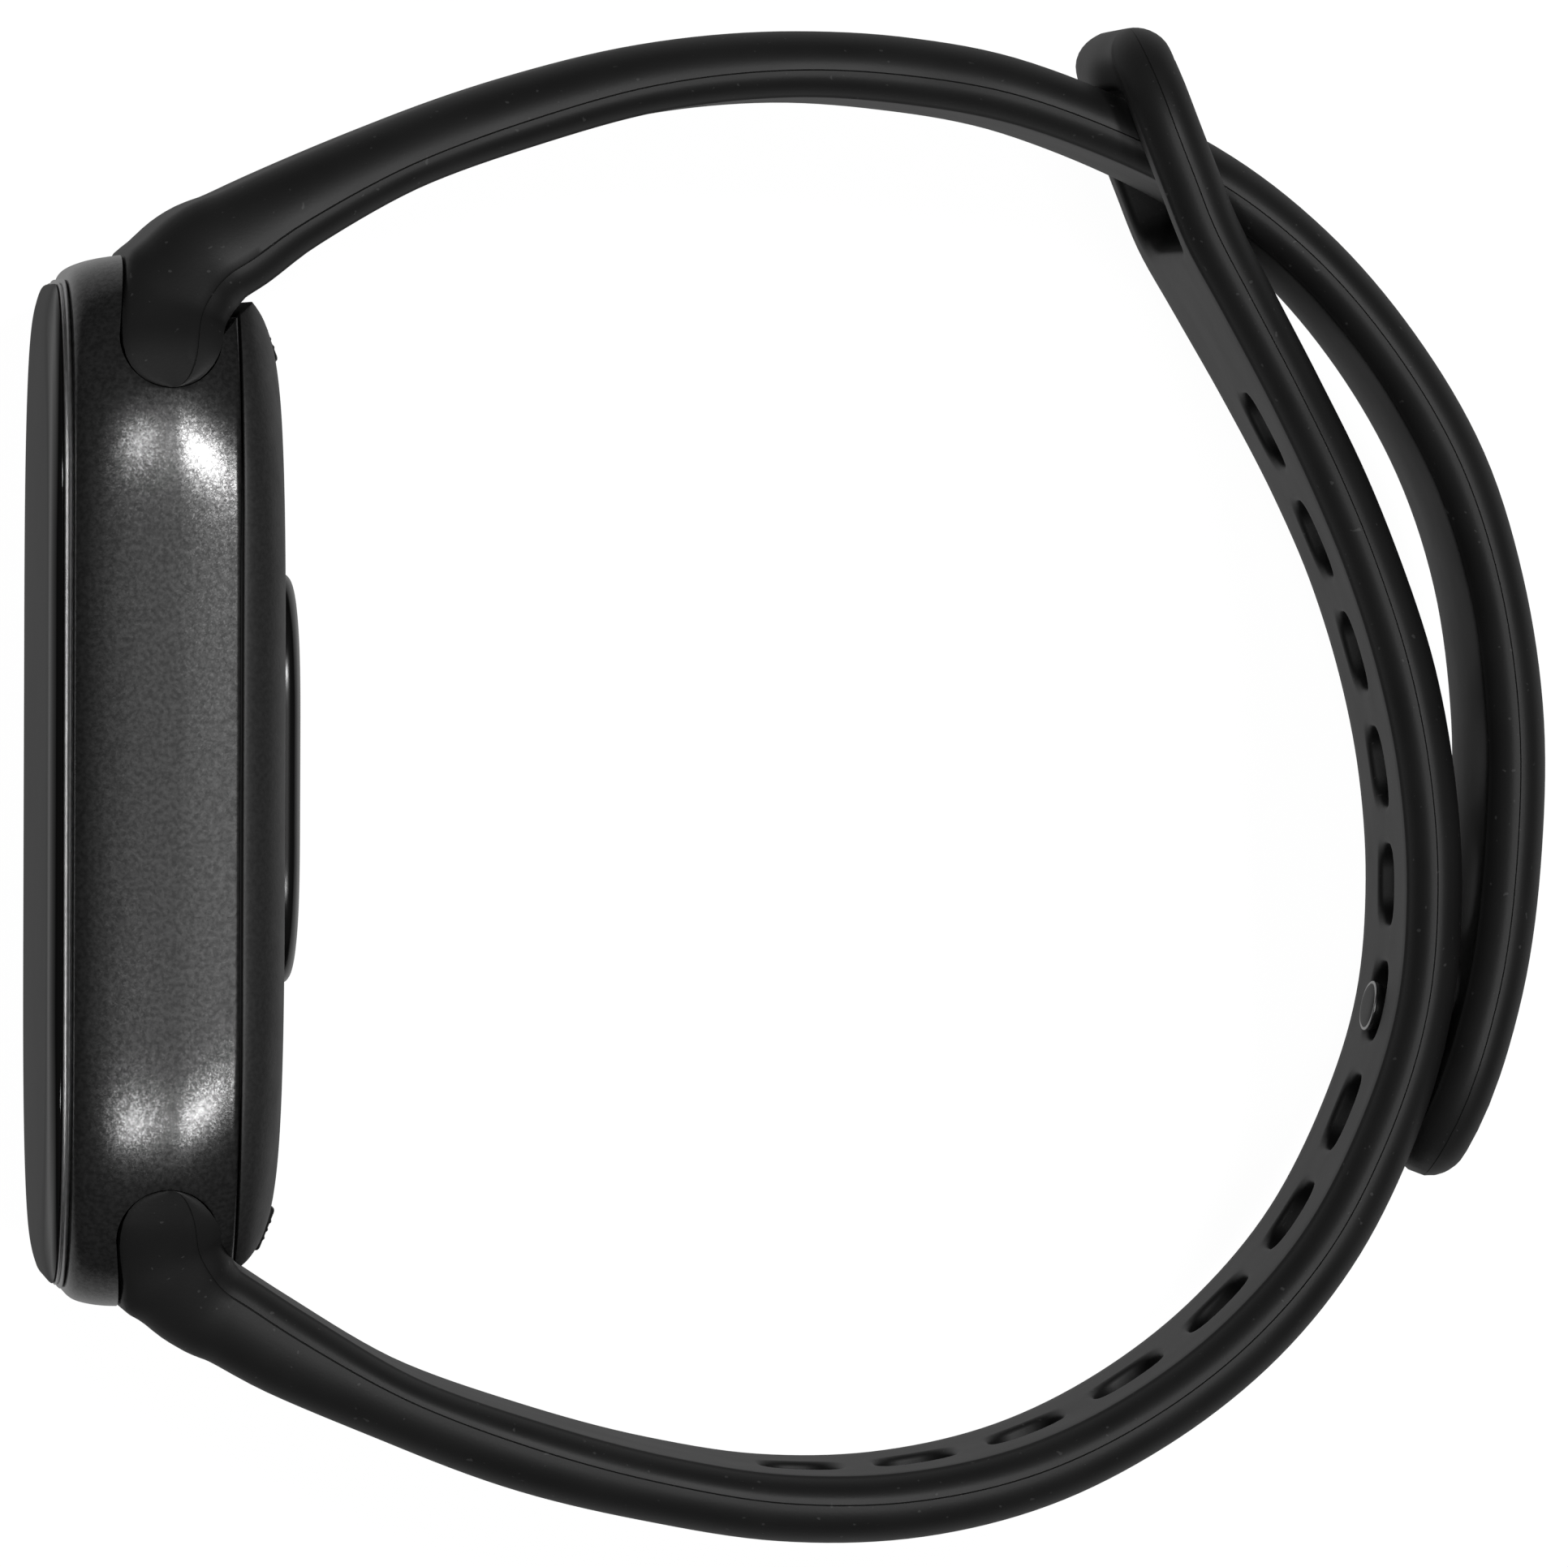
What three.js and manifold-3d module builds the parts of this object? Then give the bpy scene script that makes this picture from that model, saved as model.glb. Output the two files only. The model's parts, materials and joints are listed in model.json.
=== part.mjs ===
// Fitness tracker band, closed into its wrist loop and lying on its side.
// Units are millimetres. +Z is the axis of the wrist, -X is where the display
// faces, +Y is the strap that carries the stud. Inside this file the middle of
// the tracker's case is the origin of X and Y, and the case rests on Z = 0.
import * as THREE from 'three';
import { mergeVertices } from 'three/addons/utils/BufferGeometryUtils.js';
import Module from 'manifold-3d';

const wasm = await Module();
wasm.setup();

// ---------------------------------------------------------------- dimensions

// Case, measured along the wrist loop (Y), across the band (Z) and in depth (X).
const CASE_LENGTH = 42.7;
const CASE_WIDTH = 26;
const CASE_CORNER = 8.5;
const CORNER_POWER = 2.4;
const HALF_LENGTH = CASE_LENGTH / 2;
const HALF_WIDTH = CASE_WIDTH / 2;
const MID_Z = CASE_WIDTH / 2;

// Depths along X, from the display to the wrist.
const GLASS_FRONT = -4.86;
const GLASS_BACK = -4.2;
const TRIM_FRONT = -4.15;
const TRIM_BACK = -3.9;
const CASE_FRONT = -3.85;
const DISPLAY_BACK = -3.35;
const LEDGE = -2.6;
const CASE_BACK = 2.8;
const COVER_SEAM = 2.95;
const COVER_FACE = 4.8;
const SENSOR_CROWN = 5.6;

// The round pocket at each end of the case, where a strap is seated.
const POCKET_X = 0.3;
const POCKET_RADIUS = 2.35;
const PLUG_RADIUS = 2.05;
const POCKET_FLOOR = 16.0;
const CLEARANCE = 0.3;

// Straps.
const HOLE_COUNT = 13;
const HOLE_PITCH = 5;
const STUD_HOLE = 5;
const HOLE_LENGTH = 3.4;
const HOLE_WIDTH = 5.2;
const HOLE_CORNER = 1.5;
const LOOP_WINDOW_WIDTH = 14.6;
const HINGE_GAP = 0.3;

// Release tabs of the straps, set into the sloping ends of the back cover.
const TAB_LENGTH = 1.9;
const TAB_WIDTH = 8;
const TAB_THICKNESS = 0.6;
const TAB_TRAVEL = 0.7;
const TAB_PROUD = 0.15;

const CORNER_STEPS = 7;
const FINE = 24;
const COARSE = 14;

// ----------------------------------------------------------------- materials

function finish(color, roughness, metalness) {
  return new THREE.MeshStandardMaterial({ color, roughness, metalness });
}

const rubber = finish(0x202124, 0.72, 0);
const painted = finish(0x3a3c40, 0.38, 0.45);
const polished = finish(0x9a9ca0, 0.2, 1);
const glass = finish(0x0a0b0d, 0.06, 0);
const textured = finish(0x2c2e32, 0.6, 0);
const panel = finish(0x101216, 0.25, 0);
const seal = finish(0x141414, 0.85, 0);
const steel = finish(0xb6b8bc, 0.3, 1);
const gold = finish(0xc9a45a, 0.3, 1);
const board = finish(0x1d4a34, 0.55, 0);
const flex = finish(0x8a5a22, 0.5, 0);
const pouch = finish(0xaeb1b5, 0.35, 0.6);
const chip = finish(0x18191b, 0.5, 0);
const lamp = finish(0x2fae5f, 0.3, 0);
const nylon = finish(0x2b2d30, 0.6, 0);

// ------------------------------------------------------------ solid geometry

// A closed mesh as a manifold solid, with its faces turned outwards.
function solidOf(geometry) {
  const bare = geometry.clone();
  bare.deleteAttribute('normal');
  bare.deleteAttribute('uv');
  const merged = mergeVertices(bare, 1e-5);
  return new wasm.Manifold(new wasm.Mesh({
    numProp: 3,
    vertProperties: new Float32Array(merged.attributes.position.array),
    triVerts: new Uint32Array(merged.index.array),
  }));
}

function geometryOf(solid) {
  const mesh = solid.getMesh();
  const geometry = new THREE.BufferGeometry();
  geometry.setAttribute('position', new THREE.BufferAttribute(mesh.vertProperties, 3));
  geometry.setIndex(new THREE.BufferAttribute(mesh.triVerts, 1));
  return geometry;
}

function cut(body, ...tools) {
  let solid = solidOf(body);
  for (const tool of tools) {
    solid = solid.subtract(solidOf(tool));
  }
  return geometryOf(solid);
}

// A closed skin over a row of rings that all have the same number of points.
function loft(rings) {
  const count = rings[0].length;
  const positions = rings.flat();
  const indices = [];
  for (let ring = 0; ring + 1 < rings.length; ring += 1) {
    for (let i = 0; i < count; i += 1) {
      const a = ring * count + i;
      const b = ring * count + ((i + 1) % count);
      indices.push(a, b, a + count, b, b + count, a + count);
    }
  }
  for (const [ring, flip] of [[0, true], [rings.length - 1, false]]) {
    const middle = positions.length;
    const sum = new THREE.Vector3();
    rings[ring].forEach((point) => sum.add(point));
    positions.push(sum.divideScalar(count));
    for (let i = 0; i < count; i += 1) {
      const a = ring * count + i;
      const b = ring * count + ((i + 1) % count);
      indices.push(...(flip ? [middle, b, a] : [middle, a, b]));
    }
  }
  const geometry = new THREE.BufferGeometry().setFromPoints(positions);
  geometry.setIndex(indices);
  return facingOut(geometry);
}

// Turns every triangle over when the enclosed volume comes out negative.
function facingOut(geometry) {
  const position = geometry.attributes.position;
  const index = geometry.index.array;
  const corners = [new THREE.Vector3(), new THREE.Vector3(), new THREE.Vector3()];
  let volume = 0;
  for (let i = 0; i < index.length; i += 3) {
    corners.forEach((corner, k) => corner.fromBufferAttribute(position, index[i + k]));
    volume += corners[0].dot(corners[1].clone().cross(corners[2]));
  }
  if (volume < 0) {
    for (let i = 0; i < index.length; i += 3) {
      [index[i], index[i + 1]] = [index[i + 1], index[i]];
    }
  }
  return geometry;
}

// The case's outline across X: a rectangle with full, softly squared corners.
function outline(x, halfLength, halfWidth, corner = CASE_CORNER, centre = [0, MID_Z]) {
  const radius = Math.min(corner, halfLength, halfWidth);
  const points = [];
  for (let quarter = 0; quarter < 4; quarter += 1) {
    const ySign = quarter === 0 || quarter === 3 ? 1 : -1;
    const zSign = quarter < 2 ? 1 : -1;
    for (let i = 0; i <= CORNER_STEPS; i += 1) {
      const turn = (i / CORNER_STEPS) * (Math.PI / 2);
      const angle = quarter % 2 === 0 ? turn : Math.PI / 2 - turn;
      const y = halfLength - radius + radius * Math.cos(angle) ** (2 / CORNER_POWER);
      const z = halfWidth - radius + radius * Math.sin(angle) ** (2 / CORNER_POWER);
      points.push(new THREE.Vector3(x, centre[0] + ySign * y, centre[1] + zSign * z));
    }
  }
  return points;
}

// Rows of [x, half length, half width], joined into one rounded solid.
function shell(rows, corner, centre) {
  return loft(rows.map(([x, length, width]) => outline(x, length, width, corner, centre)));
}

function slab(x0, x1, halfLength, halfWidth, corner, centre) {
  return shell([[x0, halfLength, halfWidth], [x1, halfLength, halfWidth]], corner, centre);
}

// A flat ring: one slab with a smaller one taken out of its middle.
function band(x0, x1, outer, inner, corner) {
  const reach = 1;
  const innerCorner = corner === undefined ? CASE_CORNER - reach : corner - reach;
  return cut(
    slab(x0, x1, outer[0], outer[1], corner),
    slab(x0 - reach, x1 + reach, inner[0], inner[1], innerCorner),
  );
}

function block(x0, x1, y0, y1, z0, z1) {
  const geometry = new THREE.BoxGeometry(x1 - x0, y1 - y0, z1 - z0);
  geometry.translate((x0 + x1) / 2, (y0 + y1) / 2, (z0 + z1) / 2);
  return geometry;
}

// A cylinder along X.
function rod(x0, x1, radius, y, z, sides = COARSE) {
  const geometry = new THREE.CylinderGeometry(radius, radius, x1 - x0, sides);
  geometry.rotateZ(Math.PI / 2);
  geometry.translate((x0 + x1) / 2, y, z);
  return geometry;
}

// A prism along Z from an outline drawn in the XY plane.
function prism(points, z0, z1) {
  const geometry = new THREE.ExtrudeGeometry(new THREE.Shape(points), {
    depth: z1 - z0,
    bevelEnabled: false,
  });
  geometry.translate(0, 0, z0);
  return geometry;
}

// A bent strip of even thickness, prism along Z.
function strip(points, thickness, z0, z1) {
  const normals = points.map((point, i) => {
    const before = points[Math.max(i - 1, 0)];
    const after = points[Math.min(i + 1, points.length - 1)];
    const along = after.clone().sub(before).normalize();
    return new THREE.Vector2(-along.y, along.x).multiplyScalar(thickness / 2);
  });
  const left = points.map((point, i) => point.clone().add(normals[i]));
  const right = points.map((point, i) => point.clone().sub(normals[i]));
  return prism([...left, ...right.reverse()], z0, z1);
}

function mirrorY(geometry) {
  const mirrored = geometry.clone().scale(1, -1, 1);
  if (!mirrored.index) {
    return facingOut(mergeVertices(mirrored.deleteAttribute('normal').deleteAttribute('uv')));
  }
  return facingOut(mirrored);
}

// --------------------------------------------------------------------- case

const root = new THREE.Group();

function add(name, geometry, material) {
  const mesh = new THREE.Mesh(geometry, material);
  mesh.name = name;
  root.add(mesh);
  return mesh;
}

// A round-bottomed channel right across the case; the strap end lies in it.
function pocket(end) {
  const points = [];
  const centreY = POCKET_FLOOR + POCKET_RADIUS;
  const reach = HALF_LENGTH + 2;
  points.push(new THREE.Vector2(POCKET_X - POCKET_RADIUS - 0.25, reach));
  for (let i = 0; i <= FINE / 2; i += 1) {
    const angle = Math.PI + (i / (FINE / 2)) * Math.PI;
    points.push(new THREE.Vector2(
      POCKET_X + POCKET_RADIUS * Math.cos(angle),
      centreY + POCKET_RADIUS * Math.sin(angle),
    ));
  }
  points.push(new THREE.Vector2(3.2, centreY + 0.55));
  points.push(new THREE.Vector2(4.6, centreY + 1.5));
  points.push(new THREE.Vector2(4.6, reach));
  const channel = prism(points, -1, CASE_WIDTH + 1);
  return end > 0 ? channel : mirrorY(channel);
}

const CAVITY = [15.1, 11.9];
const RECESS = [19.1, 10.9];

function midCase() {
  const body = shell([
    [CASE_FRONT, 21.05, 12.7],
    [-3.5, 21.3, 12.92],
    [-2.8, HALF_LENGTH, HALF_WIDTH],
    [-0.8, HALF_LENGTH, HALF_WIDTH],
    [1.2, 20.9, HALF_WIDTH],
    [2.2, 20.3, 12.93],
    [CASE_BACK, 19.9, 12.8],
  ]);
  const cavity = slab(LEDGE - 1, CASE_BACK + 1, CAVITY[0], CAVITY[1], 6);
  const recess = slab(CASE_FRONT - 1, LEDGE, RECESS[0], RECESS[1], 6.5);
  return cut(body, cavity, recess, pocket(1), pocket(-1));
}

function coverGlass() {
  return shell([
    [GLASS_FRONT, 18.6, 10.9],
    [-4.8, 19.2, 11.5],
    [-4.62, 19.85, 12.05],
    [-4.4, 20.2, 12.35],
    [GLASS_BACK, 20.3, 12.4],
  ]);
}

// ---------------------------------------------------------------- back cover

const WINDOW = [8.35, 6.35];
const WINDOW_CORNER = 5.5;
const PIN_Y = -12.6;
const PIN_RADIUS = 0.9;
const PIN_OFFSET = 2.5;

// Where a release tab lies: its middle, and the direction it slides in.
const TAB_CENTRE = new THREE.Vector3(4.3, 18.0, MID_Z);
const TAB_SLOPE = Math.atan2(0.8, 2);

function tabPlace(geometry) {
  geometry.rotateZ(TAB_SLOPE);
  geometry.translate(TAB_CENTRE.x, TAB_CENTRE.y, TAB_CENTRE.z);
  return geometry;
}

function tabRecess() {
  const depth = TAB_THICKNESS + CLEARANCE;
  return tabPlace(block(
    -depth + TAB_PROUD, 2,
    -TAB_LENGTH / 2 - TAB_TRAVEL - CLEARANCE, TAB_LENGTH / 2 + CLEARANCE,
    -TAB_WIDTH / 2 - CLEARANCE, TAB_WIDTH / 2 + CLEARANCE,
  ));
}

function releaseTab() {
  return tabPlace(block(
    TAB_PROUD - TAB_THICKNESS, TAB_PROUD,
    -TAB_LENGTH / 2, TAB_LENGTH / 2,
    -TAB_WIDTH / 2, TAB_WIDTH / 2,
  ));
}

function backCover() {
  const body = shell([
    [COVER_SEAM, 19.85, 12.7],
    [3.5, 19.5, 12.5],
    [4.0, 18.8, 12.05],
    [4.4, 17.9, 11.4],
    [4.65, 16.7, 10.5],
    [COVER_FACE, 14.6, 9.2],
  ]);
  const cavity = slab(COVER_SEAM - 1, 3.95, 14.7, 10.9, 6);
  const sensorHole = slab(3, 6, WINDOW[0] + CLEARANCE, WINDOW[1] + CLEARANCE, WINDOW_CORNER);
  const pins = [-1, 1].map((side) => rod(3, 6, PIN_RADIUS + CLEARANCE, PIN_Y, MID_Z + side * PIN_OFFSET));
  const recess = tabRecess();
  return cut(body, cavity, sensorHole, ...pins, recess, mirrorY(recess), pocket(1), pocket(-1));
}

function sensorWindow() {
  return shell([
    [4.15, WINDOW[0], WINDOW[1]],
    [4.95, WINDOW[0], WINDOW[1]],
    [5.25, WINDOW[0] - 0.2, WINDOW[1] - 0.2],
    [5.48, WINDOW[0] - 0.8, WINDOW[1] - 0.8],
    [SENSOR_CROWN, WINDOW[0] - 2.2, WINDOW[1] - 2.2],
  ], WINDOW_CORNER);
}

// A headed spring pin, its face level with the back cover.
function chargingPin(side) {
  const profile = [
    new THREE.Vector2(0, 3.2),
    new THREE.Vector2(0.6, 3.2),
    new THREE.Vector2(0.6, 3.9),
    new THREE.Vector2(PIN_RADIUS, 3.9),
    new THREE.Vector2(PIN_RADIUS, 4.7),
    new THREE.Vector2(PIN_RADIUS - 0.1, COVER_FACE),
    new THREE.Vector2(0, COVER_FACE),
  ];
  const geometry = new THREE.LatheGeometry(profile, COARSE);
  geometry.rotateZ(-Math.PI / 2);
  geometry.translate(0, PIN_Y, MID_Z + side * PIN_OFFSET);
  return geometry;
}

// A thin bowed leaf lying under a release tab's inner end.
function tabSpring() {
  const points = [];
  const bow = 0.14;
  const span = 2;
  for (let i = 0; i <= 8; i += 1) {
    const along = (i / 8 - 0.5) * span;
    points.push(new THREE.Vector2(2.75 + bow * Math.cos((along / span) * Math.PI), along + 13.3));
  }
  return strip(points, 0.12, MID_Z - 2.5, MID_Z + 2.5);
}

// ---------------------------------------------------------------- inner parts

const FRAME_X = [-3.2, -2.65];
const BATTERY_X = [-2.3, 0.2];
const BOARD_X = [0.65, 1.4];
const SENSOR_BOARD_X = [2.5, 3.0];
const SCREW_Y = 12.6;
const SCREW_Z = 8.6;
const SCREW_RADIUS = 0.5;

const screwPlaces = [[1, 1], [1, -1], [-1, 1], [-1, -1]].map(([ySign, zSign]) => (
  [ySign * SCREW_Y, MID_Z + zSign * SCREW_Z]
));

function innerFrame() {
  const plate = slab(FRAME_X[0], FRAME_X[1], 18.6, 10.4, 6);
  const ribbonSlot = block(-4, -2, -15.1, -13.9, MID_Z - 3.2, MID_Z + 3.2);
  const bosses = screwPlaces.map(([y, z]) => rod(-2.7, 0.3, 1.2, y, z));
  let solid = solidOf(plate).subtract(solidOf(ribbonSlot));
  bosses.forEach((boss) => {
    solid = solid.add(solidOf(boss));
  });
  screwPlaces.forEach(([y, z]) => {
    solid = solid.subtract(solidOf(rod(-2.2, 1, SCREW_RADIUS + 0.2, y, z)));
  });
  return geometryOf(solid);
}

function mainBoard() {
  const plate = slab(BOARD_X[0], BOARD_X[1], 14.3, 11.1, 5);
  const ribbonNotch = block(0, 2, -15, -13.5, MID_Z - 3.2, MID_Z + 3.2);
  const holes = screwPlaces.map(([y, z]) => rod(0, 2, SCREW_RADIUS + 0.2, y, z));
  return cut(plate, ribbonNotch, ...holes);
}

function boardScrew([y, z]) {
  const head = 1;
  const profile = [
    new THREE.Vector2(0, -1.6),
    new THREE.Vector2(SCREW_RADIUS, -1.6),
    new THREE.Vector2(SCREW_RADIUS, BOARD_X[1] + 0.05),
    new THREE.Vector2(head, BOARD_X[1] + 0.05),
    new THREE.Vector2(head, BOARD_X[1] + 0.4),
    new THREE.Vector2(0.4, BOARD_X[1] + 0.55),
    new THREE.Vector2(0, BOARD_X[1] + 0.55),
  ];
  const geometry = new THREE.LatheGeometry(profile, COARSE);
  geometry.rotateZ(-Math.PI / 2);
  geometry.translate(0, y, z);
  return geometry;
}

// The display's ribbon: flat under the panel, then down through the frame.
function ribbonCable() {
  const points = [
    new THREE.Vector2(-3.27, -10),
    new THREE.Vector2(-3.27, -14),
    new THREE.Vector2(-3.05, -14.4),
    new THREE.Vector2(-2.6, -14.5),
    new THREE.Vector2(1.0, -14.5),
    new THREE.Vector2(1.48, -14.2),
    new THREE.Vector2(1.52, -12.5),
  ];
  return strip(points, 0.1, MID_Z - 2.5, MID_Z + 2.5);
}

// -------------------------------------------------------------------- straps

// A strap is a row of stations down its middle line:
// [x, y, thickness, half width]. It starts on the floor of its case pocket.
const STUD_STRAP = [
  [0.3, 16.3, 4.1, 12.2],
  [0.3, 18.4, 4.1, 11.2],
  [0.8, 20.2, 4.75, 9.9],
  [2.5, 21.8, 4.45, 9.3],
  [5, 23.15, 4, 8.9],
  [9.8, 25.5, 3.3, 8.35],
  [14.8, 27.4, 3, 8.05],
  [19.8, 28.7, 2.85, 8],
  [25, 29.25, 2.75, 8],
  [30, 29.1, 2.65, 7.6],
  [35.1, 28.15, 2.55, 6.9],
  [42.25, 25.05, 2.5, 6.9],
  [46.5, 21.9, 2.5, 6.9],
  [49.95, 17.95, 2.5, 6.9],
  [52.65, 13.3, 2.5, 6.9],
  [54.35, 8.35, 2.5, 6.9],
  [55.1, 2.9, 2.5, 6.9],
  [55.08, -2.1, 2.5, 6.9],
  [54.5, -7.4, 2.45, 6.9],
  [53.2, -12.3, 2.4, 6.9],
  [51.95, -15.65, 2.3, 6.9],
];

const HOLE_STRAP = [
  [0.3, -16.3, 4.1, 12.2],
  [0.3, -18.4, 4.1, 11.2],
  [0.8, -20.2, 4.7, 9.9],
  [2.6, -21.5, 4.2, 9.3],
  [5.1, -22.85, 3.7, 8.9],
  [10, -25.25, 3.1, 8.35],
  [15.1, -27.1, 2.9, 8.05],
  [20.2, -28.45, 2.8, 8],
  [25.3, -29.28, 2.7, 8],
  [30.55, -29.15, 2.7, 8],
  [35.65, -27.95, 2.65, 8],
  [40.25, -25.65, 2.6, 8],
  [44.35, -22.45, 2.6, 8],
  [47.65, -18.45, 2.5, 8],
  [50.15, -13.3, 2.4, 8],
  [51.4, -8.8, 2.3, 8],
  [51.75, -4.1, 2.3, 8],
  [51.45, 0.3, 2.3, 8],
  [50.65, 4.5, 2.35, 8],
  [49.35, 8.5, 2.35, 8.1],
  [47.7, 12.4, 2.35, 8.6],
  [45.7, 16.2, 2.35, 9.4],
  [43.6, 20, 2.4, 10],
  [42.2, 22.6, 2.5, 10.2],
  [41.35, 24.7, 2.5, 10.2],
  [40.6, 26.6, 2.5, 10.2],
  [40, 28.3, 2.5, 10],
  [39.5, 29.7, 2.5, 9],
  [39.15, 30.8, 2.5, 5.6],
];

// The straps' middle line and size at any point, with the way they face.
function strapPath(rows, side) {
  const middle = new THREE.CatmullRomCurve3(rows.map(([x, y]) => new THREE.Vector3(x, y, 0)));
  const size = new THREE.CatmullRomCurve3(
    rows.map(([, , thickness, width]) => new THREE.Vector3(thickness, width, 0)),
  );
  middle.arcLengthDivisions = 800;
  const length = middle.getLength();
  return {
    length,
    at(distance) {
      const u = middle.getUtoTmapping(THREE.MathUtils.clamp(distance / length, 0, 1));
      const point = middle.getPoint(u);
      const along = middle.getTangent(u);
      const outward = new THREE.Vector3(-along.y * side, along.x * side, 0);
      const { x: thickness, y: width } = size.getPoint(u);
      return { point, along, outward, thickness, width };
    },
  };
}

// Half of a strap's section, from the middle of the wrist side to the middle
// of the outer side: a flat wrist side, a bevel out to the parting ridge and a
// rounded outer side. The rest is its mirror image. Each entry is
// [share of the thickness, inset from the edge].
const HALF_SECTION = [
  [-0.5, 0.75],
  [-0.42, 0.55],
  [0.12, 0],
  [0.34, 0.3],
  [0.46, 1.1],
  [0.5, 2.6],
];

function sectionAt(station, bevel) {
  const { point, outward, thickness, width } = station;
  const half = HALF_SECTION.map(([share, inset]) => [share * thickness, width - inset * bevel]);
  const whole = [...half, ...half.map(([n, z]) => [n, -z]).reverse()];
  return whole.map(([n, z]) => new THREE.Vector3(
    point.x + outward.x * n,
    point.y + outward.y * n,
    MID_Z + z,
  ));
}

// The height of a round end of the given radius, at a distance from its tip.
function roundEnd(distance, radius) {
  if (distance >= radius) {
    return 1;
  }
  return Math.sqrt(1 - ((radius - distance) / radius) ** 2);
}

function strapBody(path, from, to, step, ends = {}) {
  const distances = [];
  const rounded = [0.03, 0.12, 0.27, 0.5, 0.75];
  if (ends.start) {
    rounded.forEach((share) => distances.push(from + share * ends.start));
  }
  const first = from + (ends.start ?? 0);
  const last = to - (ends.finish ?? 0);
  const count = Math.round((last - first) / step);
  for (let i = 0; i <= count; i += 1) {
    distances.push(first + ((last - first) * i) / count);
  }
  if (ends.finish) {
    [...rounded].reverse().forEach((share) => distances.push(to - share * ends.finish));
  }
  const bevelReach = 14;
  return loft(distances.map((distance) => {
    const station = path.at(distance);
    if (ends.start) {
      station.thickness *= roundEnd(distance - from, ends.start);
    }
    if (ends.finish) {
      station.thickness *= 0.35 + 0.65 * roundEnd(to - distance, ends.finish);
      station.width *= 0.6 + 0.4 * roundEnd(to - distance, ends.finish);
    }
    const bevel = THREE.MathUtils.smoothstep(distance, 1, bevelReach);
    return sectionAt(station, 0.25 + 0.75 * bevel);
  }));
}

// A rounded window through a strap, square to it at the given distance.
function strapWindow(path, distance, length, width, corner, depth = 8) {
  const { point, along, outward } = path.at(distance);
  const shape = new THREE.Shape();
  const x = length / 2;
  const y = width / 2;
  shape.moveTo(-x + corner, -y);
  shape.lineTo(x - corner, -y);
  shape.absarc(x - corner, -y + corner, corner, -Math.PI / 2, 0);
  shape.lineTo(x, y - corner);
  shape.absarc(x - corner, y - corner, corner, 0, Math.PI / 2);
  shape.lineTo(-x + corner, y);
  shape.absarc(-x + corner, y - corner, corner, Math.PI / 2, Math.PI);
  shape.lineTo(-x, -y + corner);
  shape.absarc(-x + corner, -y + corner, corner, Math.PI, Math.PI * 1.5);
  const geometry = new THREE.ExtrudeGeometry(shape, { depth, bevelEnabled: false, curveSegments: 3 });
  geometry.translate(0, 0, -depth / 2);
  const across = outward.clone().cross(along);
  geometry.applyMatrix4(new THREE.Matrix4().makeBasis(along, across, outward));
  geometry.translate(point.x, point.y, MID_Z);
  return geometry;
}

const studPath = strapPath(STUD_STRAP, 1);
const holePath = strapPath(HOLE_STRAP, -1);

// How far down the hole strap the hole that holds the stud is, and the loop's window.
const STUD_HOLE_DISTANCE = 66.67;
const LOOP_WINDOW_LENGTH = 7.9;
const LOOP_WINDOW_DISTANCE = holePath.length - 6.25;

function holeDistance(index) {
  return STUD_HOLE_DISTANCE + (STUD_HOLE - index) * HOLE_PITCH;
}

// The hard core of a strap end, which the release tab's hook holds.
function strapInsert() {
  return block(POCKET_X - 0.9, POCKET_X + 0.9, POCKET_FLOOR + 0.7, 19.2, MID_Z - 7, MID_Z + 7);
}

function insertPocket() {
  return block(
    POCKET_X - 0.9 - CLEARANCE, POCKET_X + 0.9 + CLEARANCE,
    POCKET_FLOOR - 2, 19.2 + CLEARANCE,
    MID_Z - 7 - CLEARANCE, MID_Z + 7 + CLEARANCE,
  );
}

function holeStrap() {
  const body = strapBody(holePath, 0, holePath.length, 2.4, { start: PLUG_RADIUS, finish: 1.25 });
  const holes = Array.from({ length: HOLE_COUNT }, (_, i) => (
    strapWindow(holePath, holeDistance(i), HOLE_LENGTH, HOLE_WIDTH, HOLE_CORNER)
  ));
  const loopWindow = strapWindow(holePath, LOOP_WINDOW_DISTANCE, LOOP_WINDOW_LENGTH, LOOP_WINDOW_WIDTH, 1.2, 9);
  return cut(body, ...holes, loopWindow, mirrorY(insertPocket()));
}

// Places along the stud strap where it may bend as it is undone.
const HINGE_1 = 52.5;
const HINGE_2 = 74.5;

// Height of the stud's root above the middle of the hole strap, and how far the
// stud sits from the middle of its hole, so that it swings out clear of the rim.
const STUD_ROOT = 1.38;
const STUD_SHIFT = -0.3;

function studStrapBase() {
  const body = strapBody(studPath, 0, HINGE_1 - HINGE_GAP / 2, 2.4, { start: PLUG_RADIUS });
  return cut(body, insertPocket());
}

// The stud: a stem through the hole and a low oval head on the wrist side.
function studGeometry() {
  const hole = holePath.at(STUD_HOLE_DISTANCE);
  const axis = hole.outward.clone().negate();
  const across = axis.clone().cross(hole.along);
  const start = new THREE.Vector3(hole.point.x, hole.point.y, MID_Z)
    .addScaledVector(hole.outward, STUD_ROOT)
    .addScaledVector(hole.along, STUD_SHIFT);
  const rows = [
    [0, 0.9, 1.9],
    [2.5, 0.9, 1.9],
    [2.75, 1.05, 2.2],
    [3.0, 1.05, 2.2],
    [3.2, 0.8, 1.85],
    [3.3, 0.4, 1.2],
  ];
  return loft(rows.map(([depth, halfLength, halfAcross]) => (
    Array.from({ length: 24 }, (_, i) => {
      const angle = (i / 24) * Math.PI * 2;
      return start.clone()
        .addScaledVector(axis, depth)
        .addScaledVector(hole.along, halfLength * Math.cos(angle))
        .addScaledVector(across, halfAcross * Math.sin(angle));
    })
  )));
}

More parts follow.
